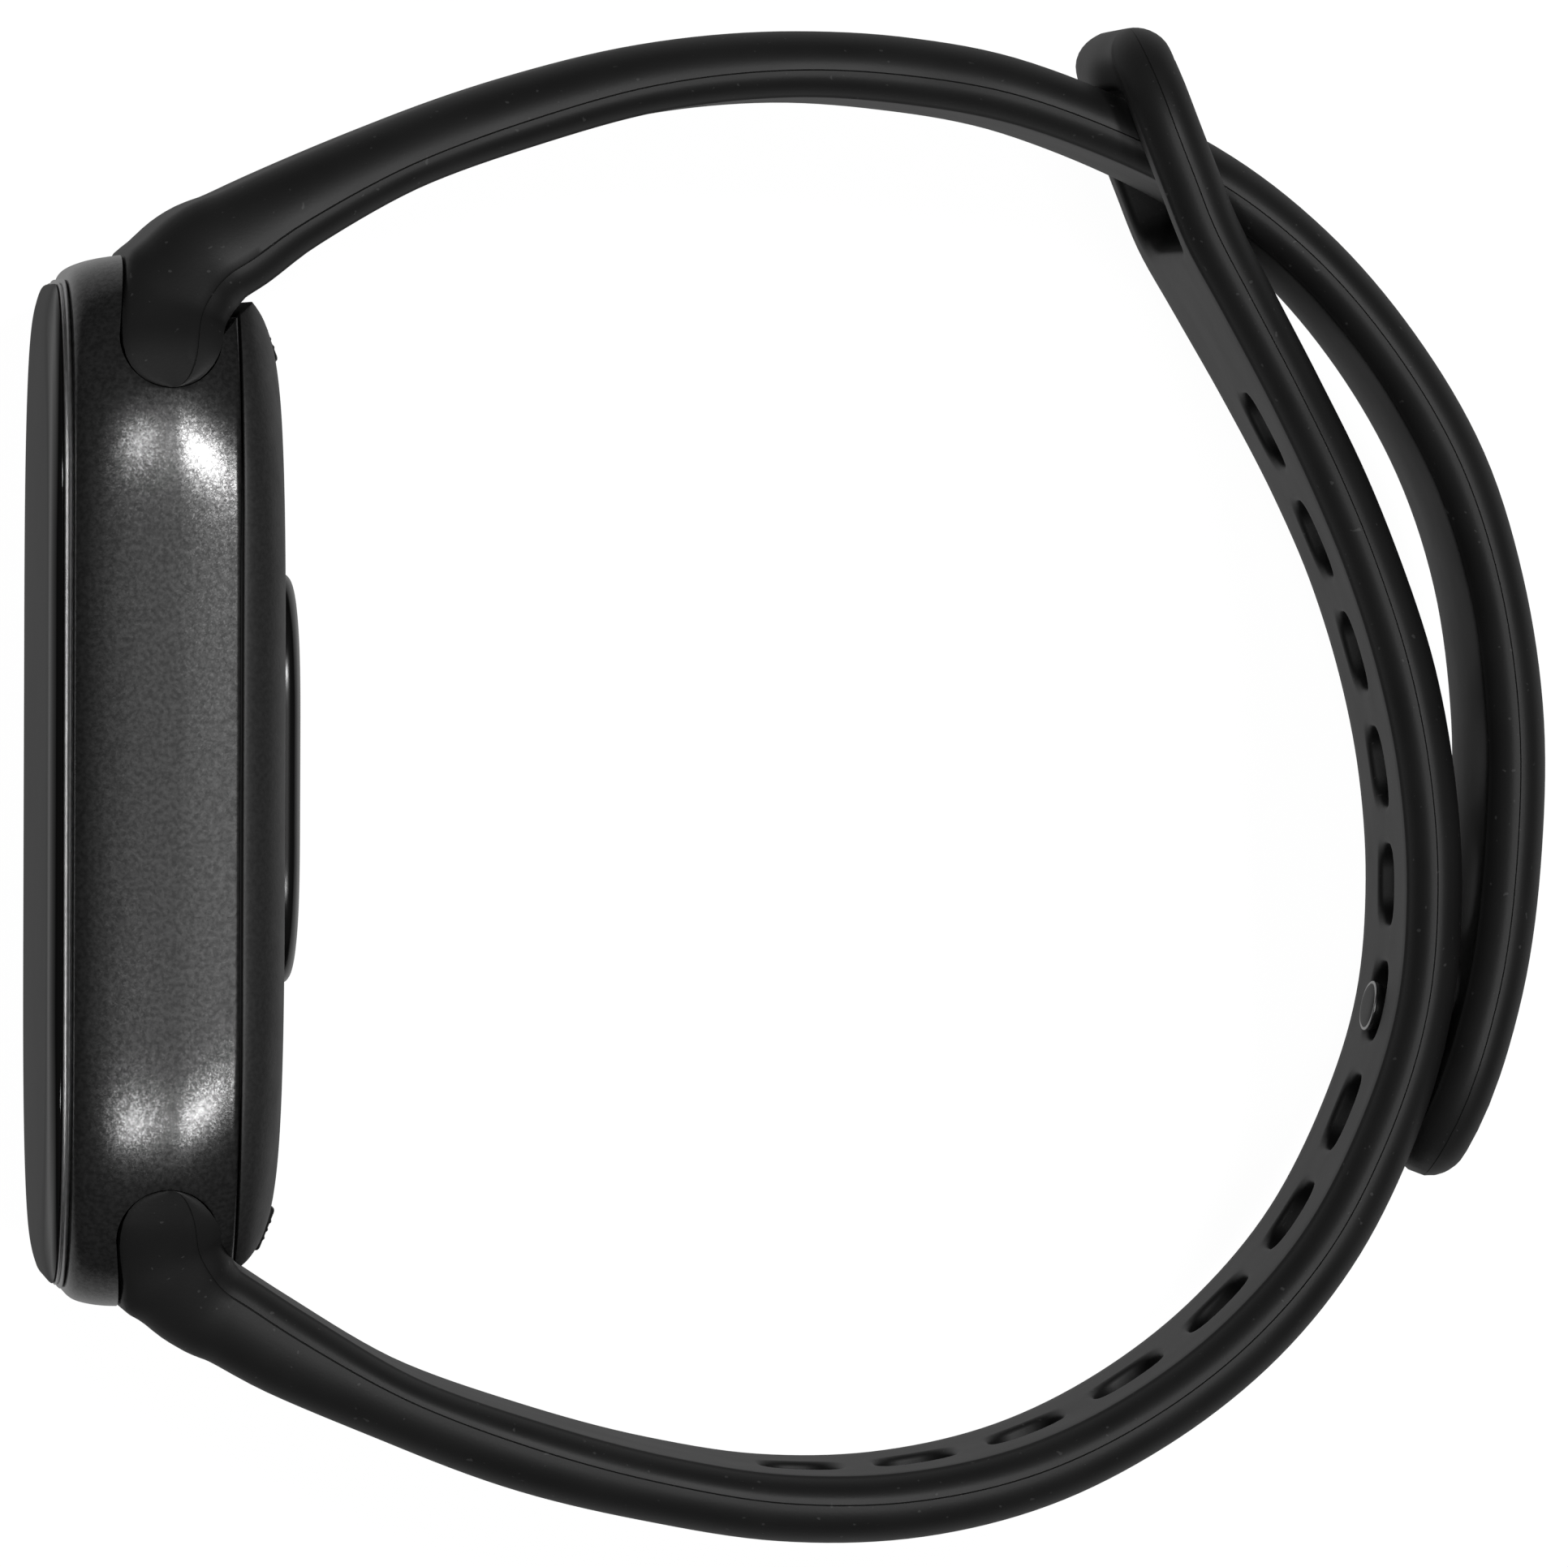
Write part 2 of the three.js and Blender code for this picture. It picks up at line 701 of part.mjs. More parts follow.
// ------------------------------------------------------------------ assembly

add('cover_glass', coverGlass(), glass);
add('bezel_trim', band(TRIM_FRONT, TRIM_BACK, [20.95, 12.62], [20, 11.7]), polished);
add('glass_seal', band(TRIM_FRONT, TRIM_BACK, [19.75, 11.5], [19.2, 11.0], 8), seal);
add('display_panel', slab(TRIM_FRONT, DISPLAY_BACK, 18.8, 10.6, 6.2), panel);
add('display_ribbon', ribbonCable(), flex);
add('mid_case', midCase(), painted);
add('inner_frame', innerFrame(), nylon);
add('battery', slab(BATTERY_X[0], BATTERY_X[1], 8.8, 9.4, 1.5, [-2.6, MID_Z]), pouch);
add('vibration_motor', rod(-2.3, 0.1, 3.6, 10.6, MID_Z + 0.2, FINE), steel);
add('antenna', block(-2.2, 0.4, -9, 9, MID_Z + 11.4, MID_Z + 11.6), flex);
add('main_board', mainBoard(), board);
screwPlaces.forEach((place, i) => {
  add(`board_screw_${i + 1}`, boardScrew(place), steel);
});
add('processor_shield', block(BOARD_X[1] + 0.05, 2.3, -10.8, -1.6, MID_Z - 5, MID_Z + 5), steel);
add('sensor_board', slab(SENSOR_BOARD_X[0], SENSOR_BOARD_X[1], 7.2, 5.4, 2), board);
[-1, 1].forEach((side, i) => {
  const x0 = SENSOR_BOARD_X[1] + 0.05;
  const y = side * 4.6;
  add(`sensor_lamp_${i + 1}`, block(x0, x0 + 0.6, y - 0.9, y + 0.9, MID_Z - 0.9, MID_Z + 0.9), lamp);
  const z = MID_Z + side * 2.6;
  add(`photodiode_${i + 1}`, block(x0, x0 + 0.6, -1.5, 1.5, z - 1.1, z + 1.1), chip);
});
add('sensor_window', sensorWindow(), glass);
add('cover_seal', band(CASE_BACK + 0.02, COVER_SEAM - 0.02, [15.7, 12.5], [15.2, 12.0], 6.6), seal);
add('back_cover', backCover(), textured);
[-1, 1].forEach((side, i) => {
  add(`charging_pin_${i + 1}`, chargingPin(side), gold);
});
add('release_tab_upper', releaseTab(), painted);
add('release_tab_lower', mirrorY(releaseTab()), painted);
add('tab_spring_upper', tabSpring(), steel);
add('tab_spring_lower', mirrorY(tabSpring()), steel);
add('strap_insert_upper', strapInsert(), nylon);
add('strap_insert_lower', mirrorY(strapInsert()), nylon);
add('hole_strap', holeStrap(), rubber);
add('stud_strap_base', studStrapBase(), rubber);
add('stud_strap_mid', strapBody(studPath, HINGE_1 + HINGE_GAP / 2, HINGE_2 - HINGE_GAP / 2, 2.4), rubber);
add('stud_strap_tip', strapBody(studPath, HINGE_2 + HINGE_GAP / 2, studPath.length, 2.4, { finish: 2 }), rubber);
add('stud', studGeometry(), rubber);

// The origin is the middle of the band's footprint, on the surface it lies on.
const footprint = new THREE.Box3().setFromObject(root);
const centre = footprint.getCenter(new THREE.Vector3());
root.position.set(-centre.x, -centre.y, -footprint.min.z);

export default root;
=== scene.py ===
"""The looks of a fitness tracker band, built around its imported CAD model.

The band lies on its side, closed into its wrist loop. Its own frame is used throughout: +Z is the axis of
the wrist, -X is where the display faces and +Y is the strap that carries the stud. Sizes are written in
millimetres and turned into metres where a mesh is made.
"""

import json
import math

import bmesh
import bpy
import numpy as np
from mathutils import Matrix, Vector

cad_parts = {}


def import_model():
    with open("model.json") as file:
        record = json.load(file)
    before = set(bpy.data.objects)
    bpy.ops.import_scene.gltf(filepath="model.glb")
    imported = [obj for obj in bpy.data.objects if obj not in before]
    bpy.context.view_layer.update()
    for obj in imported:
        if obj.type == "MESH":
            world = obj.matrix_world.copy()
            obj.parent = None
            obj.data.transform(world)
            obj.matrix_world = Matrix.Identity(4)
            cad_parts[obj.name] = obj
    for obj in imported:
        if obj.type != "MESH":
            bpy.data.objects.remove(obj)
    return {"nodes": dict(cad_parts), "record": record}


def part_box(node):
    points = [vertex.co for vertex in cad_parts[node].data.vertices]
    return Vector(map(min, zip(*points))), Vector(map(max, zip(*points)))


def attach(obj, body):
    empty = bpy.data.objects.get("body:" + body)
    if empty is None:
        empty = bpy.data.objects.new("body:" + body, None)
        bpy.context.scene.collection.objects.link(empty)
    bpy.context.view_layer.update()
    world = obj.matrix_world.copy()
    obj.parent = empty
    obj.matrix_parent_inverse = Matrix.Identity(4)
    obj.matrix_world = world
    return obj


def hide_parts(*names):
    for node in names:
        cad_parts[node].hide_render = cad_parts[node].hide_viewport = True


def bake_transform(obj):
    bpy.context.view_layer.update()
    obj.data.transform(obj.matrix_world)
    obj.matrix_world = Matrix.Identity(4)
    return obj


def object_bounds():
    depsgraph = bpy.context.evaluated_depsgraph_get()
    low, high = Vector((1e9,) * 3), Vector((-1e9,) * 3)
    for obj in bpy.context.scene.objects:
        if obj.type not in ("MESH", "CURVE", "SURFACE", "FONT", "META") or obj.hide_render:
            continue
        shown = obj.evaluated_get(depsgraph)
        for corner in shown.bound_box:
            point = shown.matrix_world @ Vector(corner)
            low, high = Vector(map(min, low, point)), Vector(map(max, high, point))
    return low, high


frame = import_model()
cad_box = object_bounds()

MM = 0.001

# ------------------------------------------------------------------ dimensions, in millimetres

# The case, as the CAD model has it: where its front rim starts and how its corners are drawn.
CASE_FRONT = -3.85
CASE_CORNER = 8.5
CORNER_STRETCH = 11 / 8.5
CORNER_POWER = 2.6

case_low, case_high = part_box("mid_case")
HALF_LENGTH = (case_high.y - case_low.y) / 2 / MM - 0.1
HALF_WIDTH = (case_high.z - case_low.z) / 2 / MM
# Behind its front edge the case sits this much nearer the stud strap.
CASE_LIFT = 0.2
# The middle of the case, which the rows of sizes below are measured from.
ORIGIN = Vector((
    case_low.x - CASE_FRONT * MM,
    (case_low.y + case_high.y) / 2,
    (case_low.z + case_high.z) / 2,
))

# The round-bottomed channels in the case's ends, and the gap round the strap ends seated in them.
POCKET_X = 0.05
POCKET_RADIUS = 2.08
POCKET_FLOOR = 16.05
PLUG_GAP = 0.02

# The holes, the stud and the loop's window, placed by distance from the hole strap's tip.
HOLE_COUNT = 13
HOLE_PITCH = 5.0
STUD_HOLE = 5
STUD_FROM_TIP = 42.4
HOLE_HALF = (1.7, 2.6)
WINDOW_HALF = (3.45, 7.3)
WINDOW_FROM_TIP = 5.75
WINDOW_BLOCK = (-4.5, 4.1)

# A strap is a row of stations down its middle line: [x, y, thickness, half width].
STUD_STRAP = [
    [0.05, 16.07, 4.12, 12.34],
    [0.05, 18, 4.12, 11.5],
    [0.3, 19.44, 4.4, 10.5],
    [1.03, 20.7, 4.55, 9.9],
    [1.84, 21.44, 4.45, 9.5],
    [2.95, 22.04, 4.2, 9.25],
    [4.97, 23.25, 3.68, 8.9],
    [9.75, 25.6, 3.05, 8.35],
    [14.8, 27.4, 3, 8.05],
    [19.8, 28.7, 2.85, 8],
    [25, 29.25, 2.75, 8],
    [30, 29.03, 2.78, 7.6],
    [35.1, 28.07, 2.68, 6.9],
    [42.2, 25.0, 2.45, 6.9],
    [46.45, 21.85, 2.4, 6.9],
    [49.9, 17.92, 2.43, 6.9],
    [52.65, 13.3, 2.5, 6.9],
    [54.3, 8.33, 2.42, 6.9],
    [55.1, 2.9, 2.5, 6.9],
    [55.08, -2.1, 2.5, 6.9],
    [54.5, -7.4, 2.45, 6.9],
    [53.2, -12.3, 2.4, 6.9],
    [51.8, -15.9, 2.3, 6.9],
]

HOLE_STRAP = [
    [0.05, -16.07, 4.12, 12.34],
    [0.05, -17.6, 4.12, 11.6],
    [0.3, -19.04, 4.3, 10.6],
    [1.03, -20.3, 4.4, 9.95],
    [1.84, -21.04, 4.1, 9.5],
    [2.85, -21.6, 3.85, 9.25],
    [5, -22.87, 3.65, 8.9],
    [9.96, -25.33, 2.95, 8.35],
    [15.07, -27.17, 3.03, 8.05],
    [20.2, -28.45, 2.85, 8],
    [25.3, -29.22, 2.82, 8],
    [30.54, -29.09, 2.82, 8],
    [35.63, -27.89, 2.77, 8],
    [40.22, -25.6, 2.72, 8],
    [44.31, -22.41, 2.72, 8],
    [47.6, -18.42, 2.62, 8],
    [50.09, -13.28, 2.52, 8],
    [51.34, -8.79, 2.42, 8],
    [51.69, -4.1, 2.42, 8],
    [51.39, 0.29, 2.42, 8],
    [50.59, 4.49, 2.47, 8],
    [49.32, 8.49, 2.41, 8.1],
    [47.67, 12.39, 2.41, 8.6],
    [45.7, 16.2, 2.35, 9.4],
    [43.6, 20, 2.4, 10],
    [42.2, 22.6, 2.5, 10.2],
    [41.35, 24.7, 2.5, 10.2],
    [40.6, 26.6, 2.5, 10.2],
    [40, 28.3, 2.5, 10.2],
    [39.5, 29.7, 2.5, 10.2],
    [39.15, 30.8, 2.5, 10.2],
]

# Where each strap's outer side is fuller as it turns away from the case: (distance, reach, height).
STUD_STRAP_HEEL = (4.15, 0.5, 0.3)
HOLE_STRAP_HEEL = (3.75, 0.5, 0.45)

# Where the stud strap may bend, by distance down it, and where its two visible pieces meet.
BENDS = {"loop": (49.0, 58.0), "tail": (68.5, 80.5)}
SEAM = 64.0


def at(x, y, z):
    """A point given in millimetres from the middle of the case."""
    return ORIGIN + Vector((x, y, z)) * MM


# ------------------------------------------------------------------ materials


class Shader:
    """A material's node tree, with short ways to add and join nodes."""

    def __init__(self, name):
        self.material = bpy.data.materials.new(name)
        self.material.use_nodes = True
        self.nodes = self.material.node_tree.nodes
        self.links = self.material.node_tree.links
        self.surface = self.nodes["Principled BSDF"]

    def add(self, kind, inputs=None, **settings):
        node = self.nodes.new(kind)
        for key, value in settings.items():
            setattr(node, key, value)
        for key, value in (inputs or {}).items():
            self.give(node, key, value)
        return node

    def give(self, node, key, value):
        """Joins an output to an input, or sets the input's own value."""
        if isinstance(value, bpy.types.NodeSocket):
            self.links.new(value, node.inputs[key])
        else:
            node.inputs[key].default_value = value

    def set(self, **values):
        """Sets the surface's inputs by name, with _ for a space."""
        for key, value in values.items():
            self.give(self.surface, key.replace("_", " "), value)

    def place(self):
        return self.add("ShaderNodeTexCoord").outputs["Object"]

    def noise(self, scale, detail=2.0, rough=0.5):
        inputs = {"Vector": self.place(), "Scale": scale, "Detail": detail, "Roughness": rough}
        return self.add("ShaderNodeTexNoise", inputs).outputs["Fac"]

    def math(self, operation, *values):
        return self.add("ShaderNodeMath", dict(enumerate(values)), operation=operation).outputs[0]

    def vector_math(self, operation, *values):
        node = self.add("ShaderNodeVectorMath", dict(enumerate(values)), operation=operation)
        return node.outputs["Value" if operation == "LENGTH" else "Vector"]

    def ramp(self, value, stops):
        """Maps a value to greys or colours."""
        node = self.add("ShaderNodeValToRGB", {"Fac": value})
        set_stops(node.color_ramp, stops)
        return node.outputs["Color"]

    def span(self, value, low, high, start=0.0, end=1.0):
        """Stretches start to end over low to high."""
        inputs = {"Value": value, "From Min": start, "From Max": end, "To Min": low, "To Max": high}
        return self.add("ShaderNodeMapRange", inputs).outputs["Result"]

    def haze(self, smear):
        """Roughness of glass with an oil-repelling coat: clear from the front, hazy at a glancing angle."""
        facing = self.add("ShaderNodeLayerWeight", {"Blend": 0.5}).outputs["Facing"]
        return self.math("ADD", self.span(smear, 0.05, 0.11), self.span(facing, 0.0, 0.5, 0.7, 0.9))

    def mix(self, factor, a, b):
        node = self.add("ShaderNodeMix", data_type="RGBA")
        self.give(node, 0, factor)
        self.give(node, 6, a)
        self.give(node, 7, b)
        return node.outputs[2]

    def bump(self, height, strength, distance, normal=None):
        inputs = {"Height": height, "Strength": strength, "Distance": distance * MM}
        if normal is not None:
            inputs["Normal"] = normal
        return self.add("ShaderNodeBump", inputs).outputs["Normal"]


def set_stops(ramp, stops):
    """Fills a colour ramp with stops of (position, grey or colour)."""
    elements = ramp.elements
    while len(elements) < len(stops):
        elements.new(0.5)
    for element, (position, colour) in zip(elements, stops):
        element.position = position
        rgb = (colour,) * 3 if isinstance(colour, (int, float)) else colour
        element.color = (*rgb, 1)


def grey(level, blue=0.0):
    return (level, level, level * (1 + blue), 1)


def strap_rubber():
    """Matte moulded rubber: a very fine grain, soft mottling and a few specks of lint."""
    s = Shader("strap_rubber")
    mottle = s.noise(260, 4)
    grain = s.noise(7000, 3, 0.6)
    specks = s.ramp(s.noise(4200, 0), [(0.0, 0.0), (0.8, 0.0), (0.84, 1.0)])
    tone = s.ramp(mottle, [(0.3, 0.012), (0.7, 0.016)])
    s.set(Base_Color=s.mix(specks, tone, grey(0.05)))
    s.set(Roughness=s.span(mottle, 0.46, 0.56), IOR=1.45)
    s.set(Normal=s.bump(grain, 0.35, 0.012))
    return s.material


def painted_case():
    """Graphite paint with fine metallic flake: each flake is tilted a little its own way."""
    s = Shader("painted_case")
    flake = s.add("ShaderNodeTexVoronoi", {"Vector": s.place(), "Scale": 17000.0}).outputs["Color"]
    tilt = s.vector_math("SUBTRACT", flake, (0.5, 0.5, 0.5))
    lean = s.add("ShaderNodeVectorMath", {0: tilt, "Scale": 0.05}, operation="SCALE").outputs[0]
    normal = s.add("ShaderNodeNewGeometry").outputs["Normal"]
    s.set(Normal=s.vector_math("NORMALIZE", s.vector_math("ADD", normal, lean)))
    s.set(Base_Color=s.ramp(s.noise(5200, 2), [(0.35, 0.07), (0.65, 0.12)]))
    s.set(Metallic=0.85, Roughness=0.24)
    s.set(Coat_Weight=0.1, Coat_Roughness=0.25)
    return s.material


def textured_cover():
    """Dark moulded plastic with a fine spark texture."""
    s = Shader("textured_cover")
    spark = s.noise(5200, 3, 0.65)
    s.set(Base_Color=s.ramp(spark, [(0.35, 0.022), (0.65, 0.036)]))
    s.set(Roughness=s.span(s.noise(900, 2), 0.42, 0.55), IOR=1.5)
    s.set(Normal=s.bump(spark, 0.6, 0.02))
    return s.material


def tab_plastic():
    """Smooth dark plastic of the release tabs."""
    s = Shader("tab_plastic")
    haze = s.noise(1800, 2)
    s.set(Base_Color=s.ramp(haze, [(0.3, 0.012), (0.7, 0.017)]))
    s.set(Roughness=s.span(haze, 0.34, 0.44))
    s.set(Normal=s.bump(s.noise(4200, 2), 0.15, 0.01))
    return s.material


def cover_lens():
    """Black polished glass, with the switched-off display just showing behind it."""
    s = Shader("cover_lens")
    axes = s.add("ShaderNodeSeparateXYZ", {"Vector": s.place()}).outputs
    low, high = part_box("display_panel")
    border = 1.1 * MM

    def inside(axis, start, end):
        """1 between start and end along an axis, and 0 in the border and past it."""
        away = s.math("ABSOLUTE", s.math("SUBTRACT", axes[axis], (start + end) / 2))
        return s.math("LESS_THAN", away, (end - start) / 2 - border)

    screen = s.math("MULTIPLY", inside("Y", low.y, high.y), inside("Z", low.z, high.z))
    smear = s.noise(90, 4, 0.6)
    s.set(Base_Color=s.mix(screen, grey(0.0035), grey(0.0062, 0.12)))
    s.set(Roughness=s.haze(smear), IOR=1.5)
    s.set(Normal=s.bump(smear, 0.03, 0.02))
    return s.material


def sensor_lens():
    """The sensor's black lens, with its lamp and receiver windows showing as darker and greener discs."""
    s = Shader("sensor_lens")
    place = s.place()
    lamp = 1.25, (0.006, 0.022, 0.011, 1)
    receiver = 1.55, grey(0.018)
    colour = grey(0.005)
    for kind, (radius, tint) in (("sensor_lamp", lamp), ("photodiode", receiver)):
        for number in (1, 2):
            low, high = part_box(f"{kind}_{number}")
            away = s.vector_math("SUBTRACT", place, (low + high) / 2)
            flat = s.vector_math("MULTIPLY", away, (0, 1, 1))
            disc = s.math("LESS_THAN", s.vector_math("LENGTH", flat), radius * MM)
            colour = s.mix(disc, colour, tint)
    s.set(Base_Color=colour)
    s.set(Roughness=s.span(s.noise(160, 3), 0.2, 0.28), IOR=1.52)
    return s.material


def polished_trim():
    """The bright cut edge under the glass, with fine turning marks."""
    s = Shader("polished_trim")
    marks = s.noise(3200, 3)
    s.set(Base_Color=s.ramp(marks, [(0.3, 0.5), (0.7, 0.62)]))
    s.set(Metallic=1.0, Roughness=s.span(marks, 0.36, 0.46))
    return s.material


def plain(name, dark, light, roughness, metallic=0.0, scale=900, bump=0.2):
    """A simple material with a little variation in colour, gloss and surface, for the parts inside."""
    s = Shader(name)
    cloud = s.noise(scale, 4)
    s.set(Base_Color=s.ramp(cloud, [(0.3, dark), (0.7, light)]))
    s.set(Roughness=s.span(cloud, roughness - 0.06, roughness + 0.06), Metallic=metallic)
    s.set(Normal=s.bump(s.noise(scale * 5, 3), bump, 0.01))
    return s.material


MATERIALS = {
    "strap_rubber": strap_rubber(),
    "painted_case": painted_case(),
    "textured_cover": textured_cover(),
    "dark_glass": cover_lens(),
    "polished_trim": polished_trim(),
    "display_black": plain("display_black", 0.006, 0.01, 0.2),
    "seal_black": plain("seal_black", 0.01, 0.016, 0.8),
    "ribbon_amber": plain("ribbon_amber", (0.3, 0.13, 0.03), (0.4, 0.19, 0.05), 0.4),
    "frame_nylon": plain("frame_nylon", 0.035, 0.055, 0.6),
    "cell_pouch": plain("cell_pouch", 0.45, 0.6, 0.35, 0.8),
    "bright_steel": plain("bright_steel", 0.5, 0.62, 0.3, 1.0),
    "circuit_board": plain("circuit_board", (0.012, 0.09, 0.04), (0.02, 0.14, 0.07), 0.4),
    "sensor_black": plain("sensor_black", 0.012, 0.02, 0.3),
    "sensor_green": plain("sensor_green", (0.06, 0.4, 0.14), (0.1, 0.5, 0.2), 0.3),
    "contact_gold": plain("contact_gold", (0.62, 0.42, 0.16), (0.75, 0.54, 0.24), 0.25, 1.0),
}
TAB_PLASTIC = tab_plastic()
SENSOR_LENS = sensor_lens()

for entry in frame["record"]["subparts"]:
    node = frame["nodes"][entry["node"]]
    node.data.materials.clear()
    node.data.materials.append(MATERIALS[entry["material_slot"]])

# ------------------------------------------------------------------ mesh helpers


def solid(name, points, faces, merge=None):
    """A mesh object from points in metres, with its faces turned outwards. Points within merge join."""
    mesh = bpy.data.meshes.new(name)
    mesh.from_pydata([tuple(p) for p in points], [], faces)
    made = bpy.data.objects.new(name, mesh)
    bpy.context.scene.collection.objects.link(made)
    tidy = bmesh.new()
    tidy.from_mesh(mesh)
    if merge:
        bmesh.ops.remove_doubles(tidy, verts=tidy.verts, dist=merge * MM)
    bmesh.ops.recalc_face_normals(tidy, faces=tidy.faces)
    tidy.to_mesh(mesh)
    tidy.free()
    return made


def piece(name, points, faces, slot, material=None, sharp=None):
    """A visible piece in its material. Edges that turn more than sharp degrees stay crisp."""
    made = solid(name, points, faces, merge=0.0005)
    mesh = made.data
    mesh.materials.append(material or MATERIALS[slot])
    mesh.shade_smooth()
    if sharp is not None:
        mesh.set_sharp_from_angle(angle=math.radians(sharp))
    return made


def skin(rings, cap_start=True, cap_end=True):
    """Points and faces of a skin over rings that all have the same number of points."""
    count = len(rings[0])
    points = [p for ring in rings for p in ring]
    faces = []
    for r in range(len(rings) - 1):
        for i in range(count):
            j = (i + 1) % count
            faces.append((r * count + i, r * count + j, (r + 1) * count + j, (r + 1) * count + i))
    if cap_start:
        faces.append(tuple(range(count))[::-1])
    if cap_end:
        faces.append(tuple((len(rings) - 1) * count + i for i in range(count)))
    return points, faces


CORNER_STEPS = 22


def outline(x, half_length, half_width, corner=CASE_CORNER):
    """The case's outline across X: a rectangle with full, softly squared corners."""
    radius = min(corner, half_length, half_width)
    long_radius = radius * CORNER_STRETCH if corner == CASE_CORNER else radius
    lift = CASE_LIFT * min(max((x + 4.2) / 3, 0.1), 1)
    ring = []
    for quarter in range(4):
        y_sign = 1 if quarter in (0, 3) else -1
        z_sign = 1 if quarter < 2 else -1
        for i in range(CORNER_STEPS + 1):
            turn = i / CORNER_STEPS * math.pi / 2
            angle = turn if quarter % 2 == 0 else math.pi / 2 - turn
            y = half_length - long_radius + long_radius * max(math.cos(angle), 0) ** (2 / CORNER_POWER)
            z = half_width - radius + radius * max(math.sin(angle), 0) ** (2 / CORNER_POWER)
            ring.append(at(x, y_sign * y + lift, z_sign * z))
    return ring


def spline(rows, u):
    """A smooth curve through rows of numbers, at u from 0 to len(rows) - 1 (centripetal Catmull-Rom)."""
    rows = np.asarray(rows, float)
    i = min(int(u), len(rows) - 2)
    t = u - i
    before = rows[i - 1] if i > 0 else 2 * rows[0] - rows[1]
    after = rows[i + 2] if i + 2 < len(rows) else 2 * rows[-1] - rows[-2]
    a, b = rows[i], rows[i + 1]
    steps = [max(math.sqrt(np.linalg.norm(q - p)), 1e-4) for p, q in ((before, a), (a, b), (b, after))]
    leave = ((a - before) / steps[0] - (b - before) / (steps[0] + steps[1]) + (b - a) / steps[1]) * steps[1]
    arrive = ((b - a) / steps[1] - (after - a) / (steps[1] + steps[2]) + (after - b) / steps[2]) * steps[1]
    cubic = 2 * a - 2 * b + leave + arrive
    square = -3 * a + 3 * b - 2 * leave - arrive
    return a + leave * t + square * t * t + cubic * t ** 3


def shell_rings(rows, per_row=4, corner=CASE_CORNER):
    """Outlines that run smoothly through rows of [x, half length, half width]."""
    steps = (len(rows) - 1) * per_row
    return [outline(*spline(rows, i / per_row), corner) for i in range(steps + 1)]


def modifier(obj, kind, **settings):
    """Adds a modifier to obj with its settings."""
    made = obj.modifiers.new(kind.lower(), kind)
    for key, value in settings.items():
        setattr(made, key, value)
    return made


def apply_modifiers(obj):
    """Bakes the modifiers into the mesh, so that what rides on a body is the final surface."""
    graph = bpy.context.evaluated_depsgraph_get()
    baked = bpy.data.meshes.new_from_object(obj.evaluated_get(graph))
    obj.modifiers.clear()
    obj.data = baked


def carve(obj, tools, bevel=None):
    """Cuts tools out of obj, then softens the new edges by bevel millimetres."""
    for tool in tools:
        modifier(obj, "BOOLEAN", operation="DIFFERENCE", solver="EXACT", object=tool)
    if bevel:
        modifier(obj, "BEVEL", width=bevel * MM, segments=2, limit_method="ANGLE",
                 angle_limit=math.radians(38), use_clamp_overlap=True)
    bpy.context.view_layer.update()
    apply_modifiers(obj)
    for tool in tools:
        bpy.data.objects.remove(tool)
    obj.data.shade_smooth()
    obj.data.set_sharp_from_angle(angle=math.radians(32))


# ------------------------------------------------------------------ straps


# The edge of a strap's section. Heights are shares of the thickness, and insets are in millimetres.
PARTING = 0.02
GROOVE_REACH = 0.01
GROOVE_DEPTH = 0.05
RIM = [(-0.5, 1.05), (-0.492, 0.97)]
# The long round on the wrist side: where it starts, its inset there, and how far it turns.
INNER_ROUND = (-0.475, 0.93, math.radians(55))
# The round on the outer side: where it ends, its radius, and the turns it runs between.
OUTER_ROUND = (0.485, 2.3, math.radians(6), math.radians(80))


def section_edge():
    """The strap's edge as (share of the thickness, inset): a crisp rim on the wrist side, a long round up
    to the fine groove of the parting line, and a fuller round over to the outer side."""
    edge = list(RIM)
    start, inset, sweep = INNER_ROUND
    finish = PARTING - 0.03
    for i in range(9):
        turn = sweep * (1 - i / 9)
        across = math.sin(turn) / math.sin(sweep)
        depth = (1 - math.cos(turn)) / (1 - math.cos(sweep))
        edge.append((finish + (start - finish) * across, inset * depth))
    edge += [(PARTING - GROOVE_REACH, 0), (PARTING, GROOVE_DEPTH), (PARTING + GROOVE_REACH, 0)]
    shoulder, radius, first, last = OUTER_ROUND
    start = PARTING + 0.02
    rise = (shoulder - start) / math.sin(last)
    for i in range(9):
        turn = first + (last - first) * i / 8
        edge.append((start + rise * math.sin(turn), radius * (1 - math.cos(turn))))
    return edge


